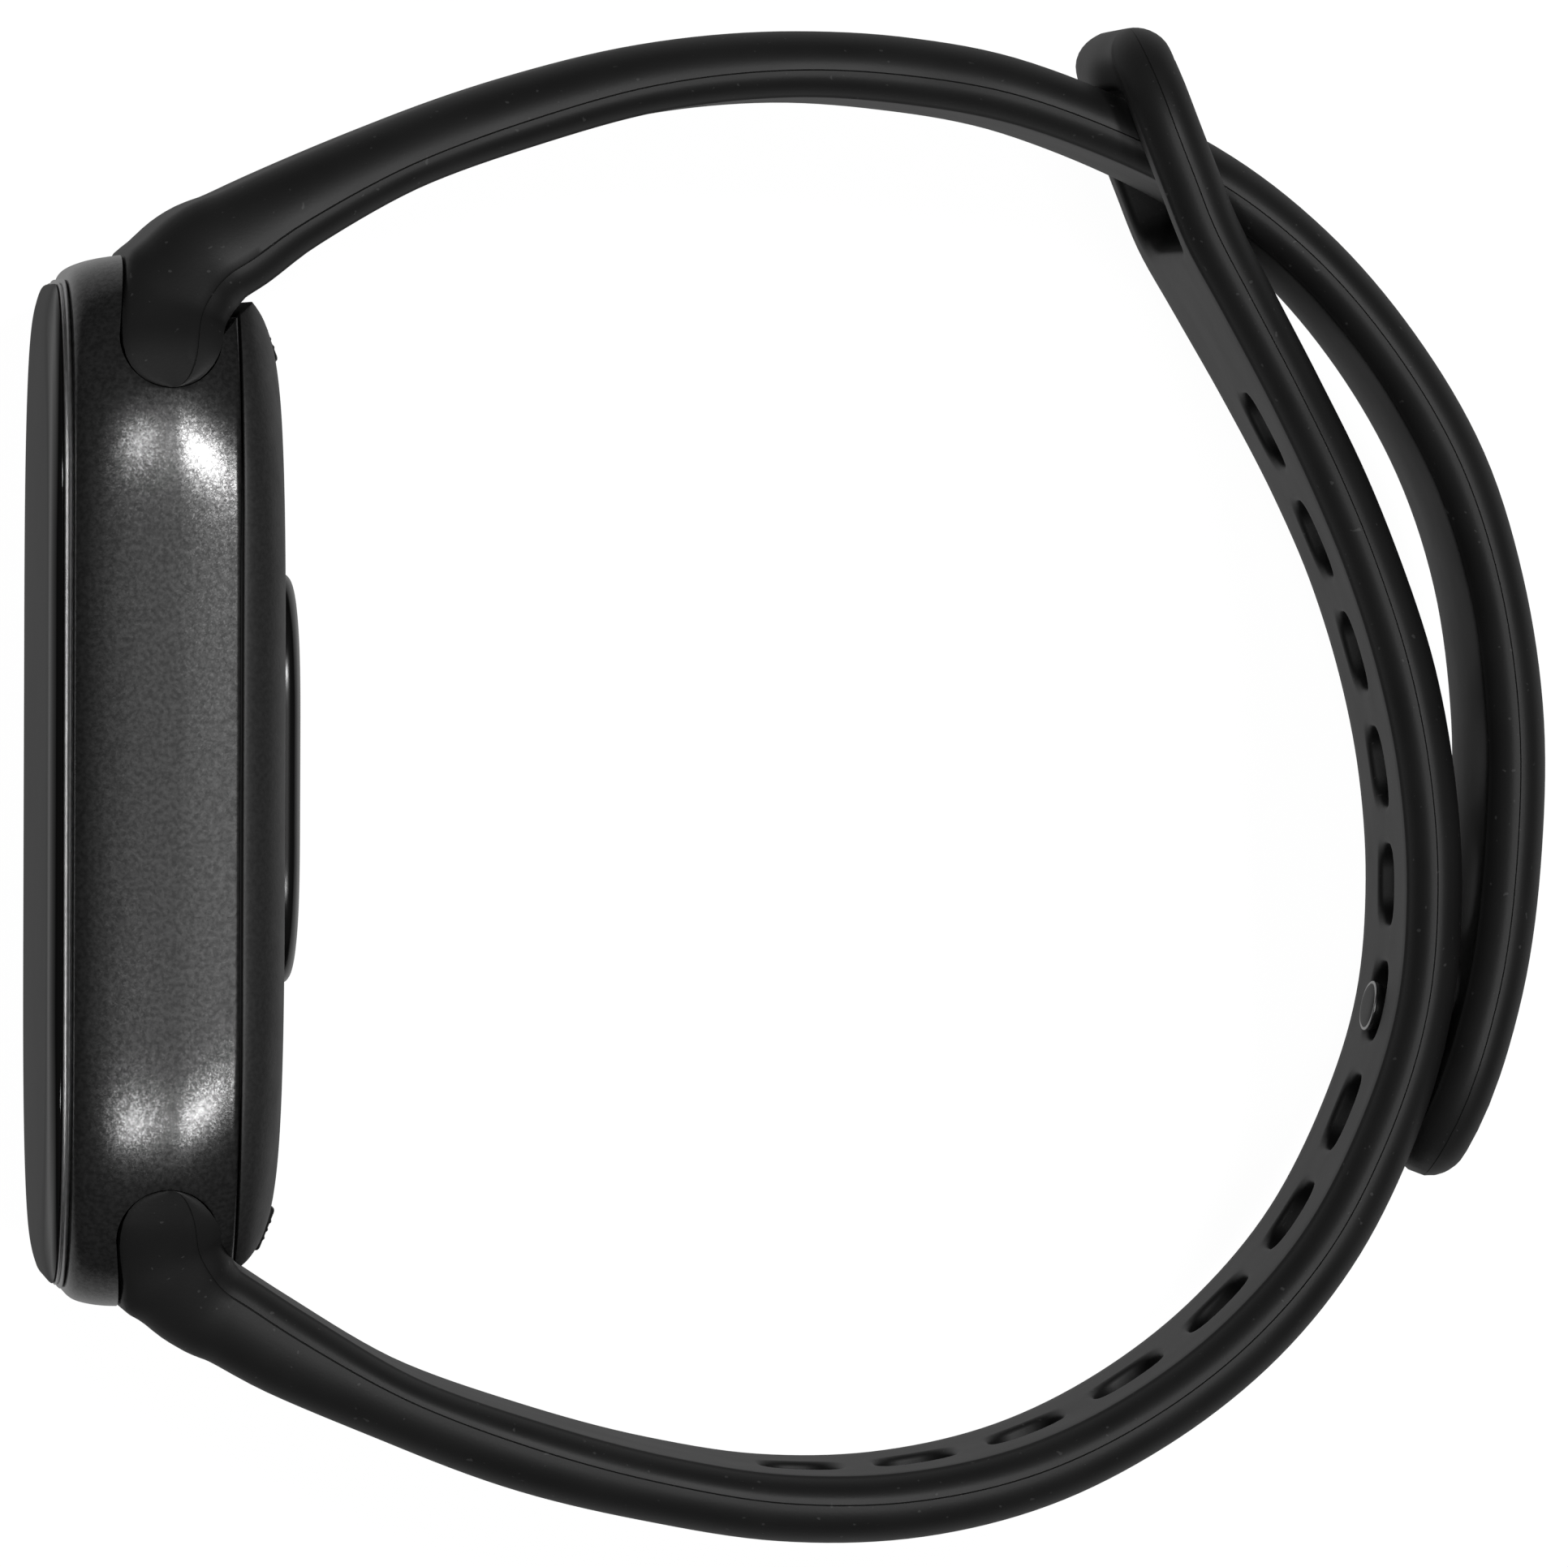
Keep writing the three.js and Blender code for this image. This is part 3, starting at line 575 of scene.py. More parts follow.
class Strap:
    """A strap's middle line and size by distance down it, and its section."""

    # Half of the section runs from the middle of the wrist side round to the middle of the outer side. The
    # wrist side and the outer side are rows of columns. The edge between them is section_edge().
    INNER_COLUMNS = 8
    OUTER_COLUMNS = 6
    # How much nearer the wrist the parting line lies at the case, and the distance over which that fades.
    PARTING_SHIFT = -0.3
    PARTING_FADE = 36.0

    def __init__(self, rows, side, heel):
        self.heel = heel
        samples = 1600
        spans = len(rows) - 1
        path = np.array([spline([r[:2] for r in rows], i / samples * spans) for i in range(samples + 1)])
        size = np.array([spline([r[2:] for r in rows], i / samples * spans) for i in range(samples + 1)])
        step = np.linalg.norm(np.diff(path, axis=0), axis=1)
        self.distance = np.concatenate([[0], np.cumsum(step)])
        self.length = self.distance[-1]
        along = np.gradient(path, self.distance, axis=0)
        along /= np.linalg.norm(along, axis=1)[:, None]
        outward = np.stack([-along[:, 1], along[:, 0]], axis=1) * side
        self.columns = np.hstack([path, outward, size])
        self.ends = {}
        self.edge = section_edge()
        self.groove = self.INNER_COLUMNS + [share for share, _ in self.edge].index(PARTING)

    def station(self, s):
        """x, y, outward x, outward y, thickness and half width at distance s."""
        row = [np.interp(s, self.distance, column) for column in self.columns.T]
        start, finish = self.ends.get("start"), self.ends.get("finish")
        if start:
            row[4] *= round_end(s, start)
        if finish:
            full = round_end(self.length - s, finish[0])
            wide = round_end(self.length - s, finish[1])
            row[4] *= full
            row[5] *= 1 - finish[2] + finish[2] * wide
        return row

    def bevel(self, s):
        """How far the bevels have grown at s: they fade out where the strap goes into the case."""
        t = min(max((s - 1.2) / 4, 0), 1)
        return t * t * (3 - 2 * t)

    def shifted(self, share, s):
        """A share of the thickness, moved along with the parting line at s. The two sides stay put."""
        shift = self.PARTING_SHIFT * math.exp(-s / self.PARTING_FADE)
        if share <= PARTING:
            return (share + 0.5) * (1 + shift / (PARTING + 0.5)) - 0.5
        return 0.5 - (0.5 - share) * (1 - shift / (0.5 - PARTING))

    def half_section(self, s):
        """[(height, distance from the middle)] in millimetres, from the wrist side to the outer side."""
        *_, thickness, width = self.station(s)
        bevel = 0.1 + 0.9 * self.bevel(s)
        edge = []
        for share, inset in self.edge:
            across = width - inset * (1 if share == PARTING else bevel)
            edge.append((self.shifted(share, s) * thickness, across))
        flat, shoulder = edge[0][1], edge[-1][1]
        inner = [(-0.5 * thickness, flat * k / self.INNER_COLUMNS) for k in range(self.INNER_COLUMNS)]
        outer = []
        for k in range(self.OUTER_COLUMNS - 1, -1, -1):
            share = k / self.OUTER_COLUMNS
            outer.append((thickness * (0.5 - 0.015 * share ** 2), shoulder * share))
        place, reach, height = self.heel
        heel = height * math.exp(-((s - place) / reach) ** 2)
        return [(h + heel * max(h / thickness + 0.2, 0) ** 2 / 0.49, z) for h, z in inner + edge + outer]

    def point(self, s, height, z):
        x, y, out_x, out_y, *_ = self.station(s)
        return at(x + out_x * height, y + out_y * height, z)

    def ring(self, s):
        half = self.half_section(s)
        whole = half + [(h, -z) for h, z in half[-2:0:-1]]
        return [self.point(s, h, z) for h, z in whole]

    def surface(self, s, z, outer, depth=0.0):
        """A point on the wrist side or the outer side at z across the strap, sunk in by depth."""
        half = self.half_section(s)
        part = half[self.groove + 1:][::-1] if outer else half[:self.groove]
        heights = [h for h, _ in part]
        places = [p for _, p in part]
        height = np.interp(abs(z), places, heights)
        return self.point(s, height - depth if outer else height + depth, z)


def round_end(distance, radius):
    """The height of a round end, from 0 at its tip to 1 a radius away."""
    if distance >= radius:
        return 1.0
    return math.sqrt(max(1 - ((radius - distance) / radius) ** 2, 0.0004))


def spread(start, end, count, include_end=False):
    """Even stations from start towards end."""
    return list(np.linspace(start, end, count + 1))[: count + 1 if include_end else count]


FILLET_STEPS = 4


class Opening:
    """A hole through a strap: its place and half sizes, and the block of the strap's grid that it takes."""

    def __init__(self, middle, half, block, columns, power, fillet):
        self.middle = middle
        self.half = half
        self.block = block
        self.columns = columns
        self.power = power
        self.fillet = fillet

    def rim(self, direction, grow):
        """The point of the rim in a direction, with the hole grown by grow on every side."""
        a, b = self.half[0] + grow, self.half[1] + grow
        ds, dz = direction
        reach = (abs(ds / a) ** self.power + abs(dz / b) ** self.power) ** (-1 / self.power)
        return self.middle + ds * reach, dz * reach


def strap_mesh(strap, stations, openings=()):
    """The strap's skin as a grid, with the openings' rims, rounded edges and walls sewn into it."""
    rings = [strap.ring(s) for s in stations]
    count = len(rings[0])
    outer_middle = count // 2
    points = [p for ring in rings for p in ring]
    faces = []
    taken = {}
    for opening in openings:
        rows = [i for i, s in enumerate(stations) if opening.block[0] - 1e-6 < s < opening.block[1] + 1e-6]
        taken[opening] = (rows[0], rows[-1])

    def covered(row, column):
        offset_in = (column + outer_middle) % count - outer_middle
        offset_out = column - outer_middle
        for opening, (first, last) in taken.items():
            if first <= row < last:
                c = opening.columns
                if -c <= offset_in < c or -c <= offset_out < c:
                    return True
        return False

    for r in range(len(rings) - 1):
        for i in range(count):
            if not covered(r, i):
                j = (i + 1) % count
                faces.append((r * count + i, r * count + j, (r + 1) * count + j, (r + 1) * count + i))
    faces.append(tuple(range(count))[::-1])
    faces.append(tuple((len(rings) - 1) * count + i for i in range(count)))

    for opening, (first, last) in taken.items():
        walls = []
        for outer in (False, True):
            border = border_of(opening, first, last, count, outer_middle if outer else 0)
            walls.append(sew(strap, opening, border, stations, count, points, faces, outer))
        low, high = walls
        for i in range(len(low)):
            j = (i + 1) % len(low)
            faces.append((low[i], low[j], high[j], high[i]))
    return points, faces


def border_of(opening, first, last, count, centre):
    """Grid places (row, column) round an opening's block, in order."""
    c = opening.columns
    side = -1 if centre else 1
    columns = [(centre + side * k) % count for k in range(-c, c + 1)]
    border = [(first, column) for column in columns[:-1]]
    border += [(row, columns[-1]) for row in range(first, last)]
    border += [(last, column) for column in columns[:0:-1]]
    border += [(row, columns[0]) for row in range(last, first, -1)]
    return border


def sew(strap, opening, border, stations, count, points, faces, outer):
    """Rings of new points from the block's border in to the hole's wall. Returns the last ring's indices."""
    edge = []
    for row, column in border:
        z = (points[row * count + column].z - ORIGIN.z) / MM
        edge.append((stations[row], z))
    ring = [row * count + column for row, column in border]
    levels = []
    for share in (0.4, 0.75):
        levels.append((share, 0.0))
    for step in range(FILLET_STEPS + 1):
        turn = math.pi / 2 * (1 - step / FILLET_STEPS)
        levels.append((None, turn))
    for share, turn in levels:
        fresh = []
        for s, z in edge:
            direction = (s - opening.middle, z)
            if share is not None:
                rim = opening.rim(direction, opening.fillet)
                place, depth = (s + (rim[0] - s) * share, z + (rim[1] - z) * share), 0.0
            else:
                place = opening.rim(direction, opening.fillet * (1 - math.cos(turn)))
                depth = opening.fillet * (1 - math.sin(turn))
            fresh.append(len(points))
            points.append(strap.surface(place[0], place[1], outer, depth))
        for i in range(len(ring)):
            j = (i + 1) % len(ring)
            faces.append((ring[i], ring[j], fresh[j], fresh[i]))
        ring = fresh
    return ring


# The strap's shape changes fastest between the case and this distance.
COLLAR = 8.0
# Stations through a round end, as shares of its radius from the tip.
ROUNDING = [0.004, 0.03, 0.08, 0.16, 0.27, 0.42, 0.6, 0.8]


def plug_stations(radius):
    return [radius * share for share in ROUNDING]


def hole_strap():
    """The hole strap: round at both ends, with its row of holes and the loop's window."""
    strap = Strap(HOLE_STRAP, -1, HOLE_STRAP_HEEL)
    strap.ends = {"start": POCKET_RADIUS - PLUG_GAP, "finish": (1.25, 5.0, 0.49)}
    length = strap.length
    stud_at = length - STUD_FROM_TIP
    centres = [stud_at + (STUD_HOLE - i) * HOLE_PITCH for i in range(HOLE_COUNT)]
    openings = [
        Opening(s, HOLE_HALF, (s - HOLE_PITCH / 2, s + HOLE_PITCH / 2), 4, 3.2, 0.28) for s in centres
    ]
    window = length - WINDOW_FROM_TIP
    block = window + WINDOW_BLOCK[0], window + WINDOW_BLOCK[1]
    openings.append(Opening(window, WINDOW_HALF, block, 8, 7.0, 0.4))
    first, last = centres[-1] - HOLE_PITCH / 2, centres[0] + HOLE_PITCH / 2
    radius = strap.ends["start"]
    stations = plug_stations(radius)
    stations += spread(radius, COLLAR, 24)
    stations += spread(COLLAR, first, int((first - COLLAR) / 0.7))
    stations += spread(first, last, HOLE_COUNT * 8)
    stations += spread(last, block[0], 6)
    stations += spread(block[0], block[1], 18)
    tip = strap.ends["finish"][0]
    stations += spread(block[1], length - tip, 2)
    stations += [length - tip * share for share in [1.0] + ROUNDING[::-1]]
    points, faces = strap_mesh(strap, stations, openings)
    made = piece("hole_strap_skin", points, faces, "strap_rubber", sharp=40)
    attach(made, "band")
    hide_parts("hole_strap")
    return strap


def stud_strap():
    """The stud strap, as two pieces that meet at SEAM."""
    strap = Strap(STUD_STRAP, 1, STUD_STRAP_HEEL)
    strap.ends = {"start": POCKET_RADIUS - PLUG_GAP, "finish": (1.45, 6.0, 0.75)}
    stud_strap_lower(strap)
    stud_strap_upper(strap)


def stud_strap_lower(strap):
    """From the case to the seam."""
    radius = strap.ends["start"]
    stations = plug_stations(radius) + spread(radius, COLLAR, 24)
    stations += spread(COLLAR, SEAM, 84, include_end=True)
    points, faces = skin([strap.ring(s) for s in stations], cap_end=False)
    lower = piece("stud_strap_skin", points, faces, "strap_rubber", sharp=40)
    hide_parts("stud_strap_base", "stud_strap_mid")
    bend(lower, strap, "loop")


def stud_strap_upper(strap):
    """From the seam to the rounded tip."""
    length = strap.length
    thin, wide, _ = strap.ends["finish"]
    stations = spread(SEAM, length - wide, 34)
    stations += [length - wide * share for share in [1.0, 0.9] + ROUNDING[::-1]]
    stations += [length - thin * share for share in (0.8, 0.6, 0.42, 0.27, 0.16)]
    stations = sorted(set(round(s, 4) for s in stations))
    points, faces = skin([strap.ring(s) for s in stations], cap_start=False)
    upper = piece("stud_strap_tip_skin", points, faces, "strap_rubber", sharp=40)
    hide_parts("stud_strap_tip")
    bend(upper, strap, "tail")


def bend(obj, strap, place):
    """Bakes obj's placement into its mesh. The ends of the bend at place are worked out but not used, so obj
    does not bend.
    """
    start, end = (strap.point(s, 0, 0) for s in BENDS[place])
    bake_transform(obj)


def oval(holes, s, height, half_along, half_across, count=40):
    """An oval ring of points in the strap's plane at s, at a height from its middle."""
    x, y, out_x, out_y, *_ = holes.station(s)
    ring = []
    for i in range(count):
        angle = i / count * 2 * math.pi
        shift = half_along * math.cos(angle)
        place_x = x + out_x * height + out_y * shift
        place_y = y + out_y * height - out_x * shift
        ring.append(at(place_x, place_y, half_across * math.sin(angle)))
    return ring


# The stud stands this far off the middle of its hole.
STUD_SHIFT = -0.3


def stud_place(holes):
    """Where the stud is down the hole strap, and the height of the strap's wrist side there."""
    s = holes.length - STUD_FROM_TIP + STUD_SHIFT
    return s, -holes.station(s)[4] / 2


def stud(holes):
    """The stud: a stem through the hole and a low oval head on the wrist side."""
    s, face = stud_place(holes)
    # Each row is (height, half length along the strap, half length across it).
    rows = [
        (1.6, 1.0, 2.1), (1.2, 0.85, 1.9), (-0.8, 0.85, 1.9), (face + 0.12, 0.88, 1.95),
        (face, 0.98, 2.08), (face - 0.12, 1.0, 2.12), (face - 0.24, 0.98, 2.1),
        (face - 0.33, 0.86, 1.95), (face - 0.38, 0.6, 1.5), (face - 0.4, 0.25, 0.8),
    ]
    points, faces = skin([oval(holes, s, *row) for row in rows])
    made = piece("stud_skin", points, faces, "strap_rubber", sharp=60)
    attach(made, "tail_tip")
    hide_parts("stud")


def stud_rim(holes):
    """The fine bright ring let into the stud's head."""
    s, face = stud_place(holes)
    wire = 0.07
    rings = []
    for i in range(10):
        turn = i / 10 * 2 * math.pi
        reach, rise = wire * math.cos(turn), wire * math.sin(turn)
        rings.append(oval(holes, s, face - 0.25 - rise, 0.96 + reach, 2.08 + reach))
    points, faces = skin(rings + rings[:1], cap_start=False, cap_end=False)
    made = piece("stud_rim", points, faces, "polished_trim")
    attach(made, "tail_tip")


# ------------------------------------------------------------------ case


def prism_tool(name, profile, half_width):
    """A cutter along Z from an outline of (x, y) in millimetres."""
    rings = [[at(x, y, side * half_width) for x, y in profile] for side in (-1, 1)]
    return solid(name, *skin(rings))


def circle(middle, x, radius, count):
    """A ring of points across X. The middle is in metres, x and the radius in millimetres."""
    turns = [i / count * 2 * math.pi for i in range(count)]
    return [middle + Vector((x, radius * math.cos(a), radius * math.sin(a))) * MM for a in turns]


def bore_tool(middle, radius):
    """A round cutter along X through a point in metres."""
    return solid("bore", *skin([circle(middle, x, radius, 32) for x in (-2, 2)]))


def pocket_tool(end):
    """The round-bottomed channel that a strap's end is seated in."""
    centre = POCKET_FLOOR + POCKET_RADIUS
    reach = HALF_LENGTH + 2
    profile = [(POCKET_X - POCKET_RADIUS + 0.5, reach)]
    for i in range(41):
        angle = math.pi * (1 + i / 40)
        across, along = POCKET_RADIUS * math.cos(angle), POCKET_RADIUS * math.sin(angle)
        profile.append((POCKET_X + across, centre + along))
    # The channel's back wall opens outwards, a little wider for the hole strap.
    wider = 0 if end > 0 else 0.15
    for x, rise in ((2.75, 0.72), (3.2, 1.08), (4.6, 2.15)):
        profile.append((x, centre + rise + wider))
    profile.append((4.6, reach))
    return prism_tool("pocket", [(x, end * y) for x, y in profile], HALF_WIDTH + 1)


def hollow(rings, inner_rows, corner):
    """Adds an inner wall to a shell's rings, so that it is a ring and not a block."""
    inner = [outline(x, length, width, corner) for x, length, width in inner_rows]
    loop = rings + inner[::-1]
    count = len(rings[0])
    points = [p for ring in loop for p in ring]
    faces = []
    for r in range(len(loop)):
        nxt = (r + 1) % len(loop)
        for i in range(count):
            j = (i + 1) % count
            faces.append((r * count + i, r * count + j, nxt * count + j, nxt * count + i))
    return points, faces


def mid_case():
    """The painted shell, open at the front and the back. Rows are [x, half length, half width]."""
    rows = [
        [-3.9, 20.2, 12.05],
        [-3.87, 20.42, 12.22],
        [-3.77, 20.63, 12.4],
        [-3.5, 20.86, 12.6],
        [-2.95, 21.06, 12.75],
        [-2.2, 21.2, 12.87],
        [-1.4, HALF_LENGTH, 12.95],
        [-0.6, HALF_LENGTH, HALF_WIDTH - 0.01],
        [0.3, 21.17, HALF_WIDTH],
        [0.9, 20.98, HALF_WIDTH - 0.02],
        [1.8, 20.6, 12.92],
        [2.45, 20.3, 12.85],
        [2.72, 20.12, 12.81],
        [2.81, 19.98, 12.72],
    ]
    cavity = [(-3.9, 19.1, 10.9), (-2.6, 19.1, 10.9), (-2.6, 15.1, 11.9), (2.81, 15.1, 11.9)]
    points, faces = hollow(shell_rings(rows), cavity, 6)
    made = piece("mid_case_shell", points, faces, "painted_case")
    carve(made, [pocket_tool(1), pocket_tool(-1)], bevel=0.07)
    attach(made, "band")
    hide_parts("mid_case")


def front_glass():
    """The cover glass, rounded over at its edge."""
    rows = [
        [-4.27, 20.1, 12.02],
        [-4.31, 20.22, 12.12],
        [-4.44, 20.12, 12.06],
        [-4.62, 19.68, 11.82],
        [-4.77, 19.05, 11.42],
        [-4.85, 18.15, 10.8],
        [-4.86, 17.2, 10.0],
    ]
    points, faces = skin(shell_rings(rows, 5))
    made = piece("front_glass", points, faces, "dark_glass", sharp=50)
    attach(made, "band")
    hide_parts("cover_glass")


def trim_ring():
    """The bright ring under the glass, with a step and a groove round it."""
    rows = [
        [-3.78, 20.2, 12.05],
        [-3.9, 20.22, 12.08],
        [-3.94, 20.38, 12.26],
        [-4.0, 20.42, 12.32],
        [-4.07, 20.36, 12.26],
        [-4.11, 20.2, 12.1],
        [-4.15, 20.2, 12.1],
        [-4.18, 20.28, 12.18],
        [-4.22, 20.26, 12.16],
        [-4.25, 20.1, 12.02],
    ]
    points, faces = hollow(shell_rings(rows, 3), [(-3.78, 19.6, 11.3), (-4.25, 19.6, 11.3)], 7.5)
    made = piece("trim_ring", points, faces, "polished_trim", sharp=40)
    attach(made, "band")
    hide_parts("bezel_trim")


# A release tab: its middle, slope, (thickness, length, width), rise above the cover, and travel.
TAB_CENTRE = (4.3, 18.0)
TAB_SLOPE = math.atan2(0.8, 2)
TAB_SIZE = (0.6, 1.9, 8.0)
TAB_PROUD = 0.15
TAB_TRAVEL = 0.7


def tab_point(along, height, end):
    """A place on a release tab's slope: along it away from the strap, and height above it."""
    c, s = math.cos(TAB_SLOPE), math.sin(TAB_SLOPE)
    return TAB_CENTRE[0] + height * c + along * s, end * (TAB_CENTRE[1] + height * s - along * c)


def tab_recess_tool(end):
    """The recess in the cover that a release tab slides in, with a gap all round."""
    gap = 0.08
    near = -TAB_SIZE[1] / 2 - gap
    far = TAB_SIZE[1] / 2 + gap + TAB_TRAVEL
    corners = [(near, 2), (near, -0.6), (far, -0.6), (far, 2)]
    profile = [tab_point(along, height, end) for along, height in corners]
    return prism_tool("recess", profile, TAB_SIZE[2] / 2 + gap)


def back_cover():
    """The cover on the wrist side, with its window, bores, channels and tab recesses cut out."""
    rows = [
        [2.9, 19.8, 12.68],
        [2.93, 19.86, 12.78],
        [3.1, 19.8, 12.76],
        [3.5, 19.5, 12.55],
        [4.0, 18.85, 12.05],
        [4.4, 17.9, 11.35],
        [4.65, 16.8, 10.5],
        [4.77, 15.6, 9.7],
        [4.8, 14.0, 8.6],
    ]
    window = [8.35 + 0.12, 6.35 + 0.12]
    cavity = [(2.9, 14.7, 10.9), (3.95, 14.7, 10.9), (3.95, *window), (4.8, *window)]
    points, faces = hollow(shell_rings(rows), cavity, 5.5)
    made = piece("back_cover_shell", points, faces, "textured_cover")
    tools = [tab_recess_tool(1), tab_recess_tool(-1), pocket_tool(1), pocket_tool(-1)]
    for name in ("charging_pin_1", "charging_pin_2"):
        low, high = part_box(name)
        tools.append(bore_tool((low + high) / 2, (high.y - low.y) / 2 / MM + 0.08))
    carve(made, tools, bevel=0.06)
    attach(made, "band")
    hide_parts("back_cover")


def sensor_dome():
    """The sensor's low domed lens."""
    rows = [
        [4.15, 8.35, 6.35],
        [5.02, 8.35, 6.35],
        [5.22, 8.3, 6.3],
        [5.4, 8.12, 6.12],
        [5.54, 7.75, 5.75],
        [5.64, 7.1, 5.1],
        [5.7, 6.1, 4.1],
        [5.72, 4.6, 2.6],
    ]
    rings = []
    for i in range((len(rows) - 1) * 4 + 1):
        x, half_length, half_width = spline(rows, i / 4)
        rings.append(outline(x, half_length, half_width, min(5.5, half_width)))
    points, faces = skin(rings)
    made = piece("sensor_dome", points, faces, "dark_glass", SENSOR_LENS, sharp=50)
    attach(made, "band")
    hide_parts("sensor_window")


def release_tab(end, name, body):
    """A tab with rounded edges and three low grip ribs across it."""
    half_length, half_width = TAB_SIZE[1] / 2, TAB_SIZE[2] / 2
    steps = 40
    rings = []
    for i in range(steps + 1):
        along = -half_length + 2 * half_length * i / steps
        away = half_length - abs(along)
        edge = round_end(away, 0.22)
        rib = 0.045 * max(0.0, math.cos(along / 0.36 * 2 * math.pi)) if abs(along) < 0.63 else 0.0
        top = TAB_PROUD - 0.12 * (1 - edge) + rib
        bottom = TAB_PROUD - TAB_SIZE[0] + 0.1 * (1 - edge)
        wide = half_width - 0.15 * (1 - edge)
        section = [(bottom, -wide), (bottom, wide), (top - 0.16, wide)]
        section += [(top - 0.05, wide - 0.05), (top, wide - 0.2), (top, 0), (top, 0.2 - wide)]
        section += [(top - 0.05, 0.05 - wide), (top - 0.16, -wide)]
        rings.append([at(*tab_point(along, height, end), z) for height, z in section])
    points, faces = skin(rings)
    made = piece(name + "_skin", points, faces, "painted_case", TAB_PLASTIC, sharp=50)
    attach(made, body)
    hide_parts(name)


def charging_pin(name):
    """A gold contact with a rounded edge and a shallow dished face."""
    low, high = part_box(name)
    radius = (high.y - low.y) / 2 / MM
    length = (high.x - low.x) / MM
    profile = [
        (0, radius * 0.65),
        (length * 0.42, radius * 0.65),
        (length * 0.45, radius),
        (length - 0.12, radius),
        (length - 0.03, radius - 0.05),
        (length, radius - 0.14),
        (length - 0.02, radius - 0.3),
        (length - 0.05, 0.2),
    ]
    middle = Vector((low.x, (low.y + high.y) / 2, (low.z + high.z) / 2))
    points, faces = skin([circle(middle, x, r, 36) for x, r in profile])
    made = piece(name + "_skin", points, faces, "contact_gold", sharp=45)
    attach(made, "band")
    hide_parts(name)


# ------------------------------------------------------------------ stage, light and camera


MIDDLE = (cad_box[0] + cad_box[1]) / 2
# Where the camera looks, in millimetres from the middle of the object.
AIM = Vector((-0.06, -0.13, 0.0))

# How bright the floor looks, and how much it lights the object: near the object, and far from it.
FLOOR_SEEN = 0.97
FLOOR_BOUNCE = (0.38, 0.04)
FLOOR_FADE = (0.045, 0.12)

LAMP_DISTANCE = 0.9
LAMP_SIZE = 0.09
# Each lamp's direction from the object, and its power in watts.
LAMPS = {
    "key_upper": ((0.25, 0.26, 1.0), 2.3),
    "key_lower": ((0.25, -0.29, 1.0), 1.1),
    "fill_upper": ((-0.12, 0.26, 1.0), 0.68),
    "fill_lower": ((-0.12, -0.29, 1.0), 0.8),
}


def floor():
    """A plain pale floor. It lights the object less than it looks, and only from near by."""
    size = 3.0
    corners = [(-size, -size, 0), (size, -size, 0), (size, size, 0), (-size, size, 0)]
    mesh = bpy.data.meshes.new("floor")
    mesh.from_pydata(corners, [], [(0, 1, 2, 3)])
    made = bpy.data.objects.new("floor", mesh)
    bpy.context.scene.collection.objects.link(made)
    made.location.z = cad_box[0].z - 0.05 * MM
    s = Shader("floor_white")
    s.set(Base_Color=grey(0.1), Roughness=0.9)
    glow = s.add("ShaderNodeEmission", {"Color": grey(1.0), "Strength": FLOOR_SEEN})
    bright = s.add("ShaderNodeAddShader", {0: glow.outputs[0], 1: s.surface.outputs[0]})
    level = s.span(s.vector_math("LENGTH", s.place()), *FLOOR_BOUNCE, *FLOOR_FADE)
    bounce = s.add("ShaderNodeEmission", {"Color": grey(1.0), "Strength": level})
    seen = s.add("ShaderNodeLightPath").outputs["Is Camera Ray"]
    both = s.add("ShaderNodeMixShader", {0: seen, 1: bounce.outputs[0], 2: bright.outputs[0]})
    s.links.new(both.outputs[0], s.nodes["Material Output"].inputs["Surface"])
    mesh.materials.append(s.material)


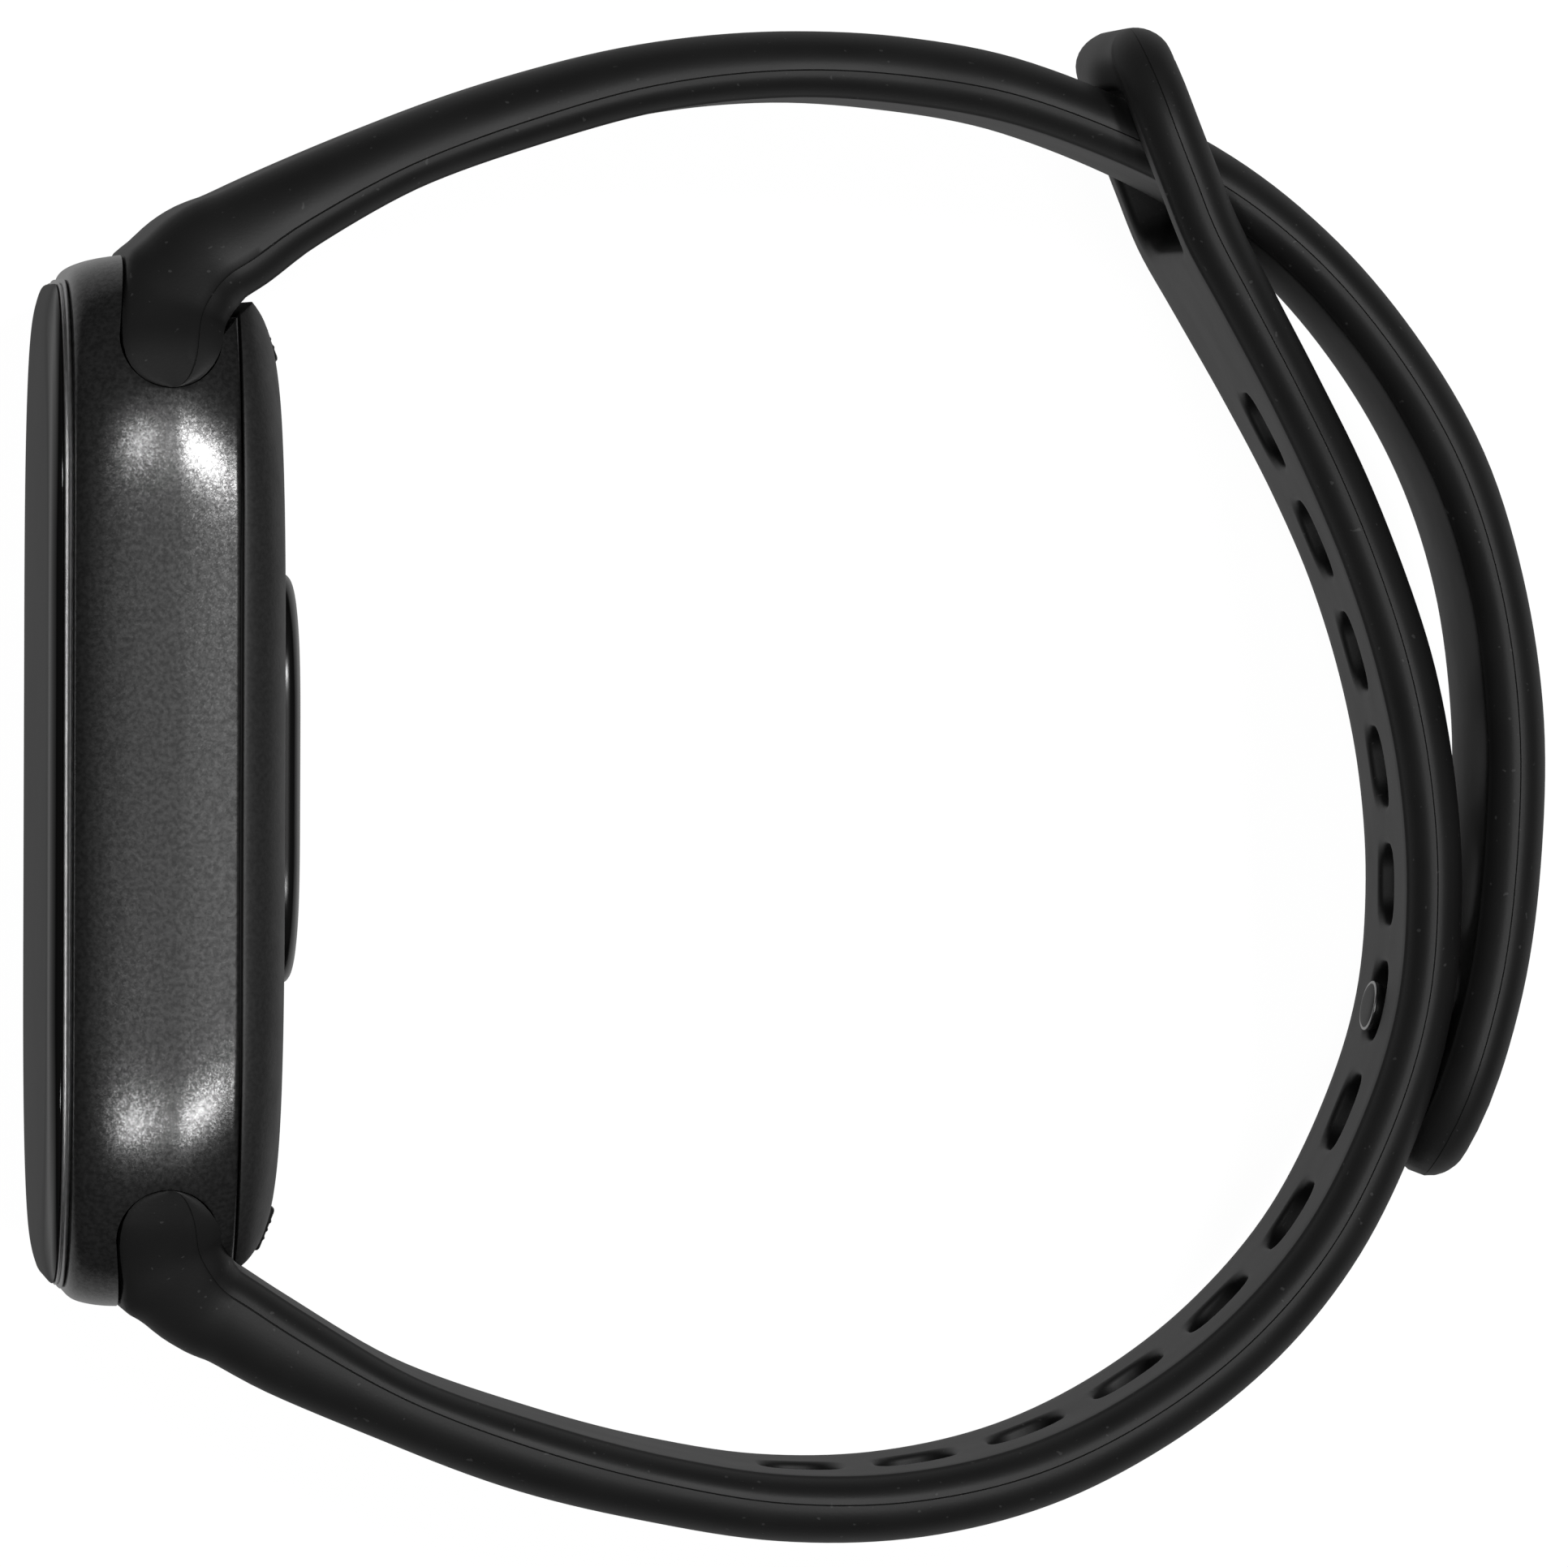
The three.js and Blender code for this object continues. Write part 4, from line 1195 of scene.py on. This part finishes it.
def world():
    """A dim, nearly even room, so that the four lamps shape the object."""
    made = bpy.data.worlds.new("studio")
    made.use_nodes = True
    nodes, links = made.node_tree.nodes, made.node_tree.links
    room = nodes["Background"]
    place = nodes.new("ShaderNodeTexCoord")
    axes = nodes.new("ShaderNodeSeparateXYZ")
    links.new(place.outputs["Generated"], axes.inputs[0])
    height = nodes.new("ShaderNodeValToRGB")
    height.color_ramp.interpolation = "EASE"
    set_stops(height.color_ramp, [(0.0, 0.045), (0.15, 0.05), (0.45, 0.055), (1.0, 0.05)])
    links.new(axes.outputs["Z"], height.inputs[0])
    links.new(height.outputs[0], room.inputs["Color"])
    backdrop = nodes.new("ShaderNodeBackground")
    backdrop.inputs["Strength"].default_value = 1.0
    seen = nodes.new("ShaderNodeLightPath")
    both = nodes.new("ShaderNodeMixShader")
    links.new(seen.outputs["Is Camera Ray"], both.inputs[0])
    links.new(room.outputs[0], both.inputs[1])
    links.new(backdrop.outputs[0], both.inputs[2])
    links.new(both.outputs[0], nodes["World Output"].inputs["Surface"])
    bpy.context.scene.world = made


def lamp(name, direction, power):
    """A square soft box that faces the middle of the object."""
    light = bpy.data.lights.new(name, "AREA")
    light.shape = "SQUARE"
    light.size = LAMP_SIZE
    light.energy = power
    made = bpy.data.objects.new(name, light)
    bpy.context.scene.collection.objects.link(made)
    toward = Vector(direction).normalized()
    made.location = MIDDLE + toward * LAMP_DISTANCE
    made.rotation_euler = (-toward).to_track_quat("-Z", "Y").to_euler()


def camera():
    """A long lens above the band, leaning a little towards the display and the stud strap."""
    distance = 0.7152
    back = Vector((-0.0864, 0.0227, 0.996)).normalized()
    up = Vector((0, 1, 0))
    roll = math.radians(0.25)
    right = up.cross(back).normalized()
    up = back.cross(right)
    data = bpy.data.cameras.new("camera")
    data.sensor_width = 36
    data.lens = 402.2
    made = bpy.data.objects.new("camera", data)
    bpy.context.scene.collection.objects.link(made)
    place = Matrix((right, up, back)).transposed().to_4x4() @ Matrix.Rotation(roll, 4, "Z")
    place.translation = MIDDLE + AIM * MM + back * distance
    made.matrix_world = place
    data.clip_start, data.clip_end = 0.05, 10
    bpy.context.scene.camera = made


camera()
floor()
world()
for name, (direction, power) in LAMPS.items():
    lamp(name, direction, power)
bpy.context.scene.view_settings.view_transform = "Standard"

holes = hole_strap()
stud_strap()
stud(holes)
stud_rim(holes)
mid_case()
front_glass()
trim_ring()
back_cover()
sensor_dome()
release_tab(1, "release_tab_upper", "tab_upper")
release_tab(-1, "release_tab_lower", "tab_lower")
charging_pin("charging_pin_1")
charging_pin("charging_pin_2")
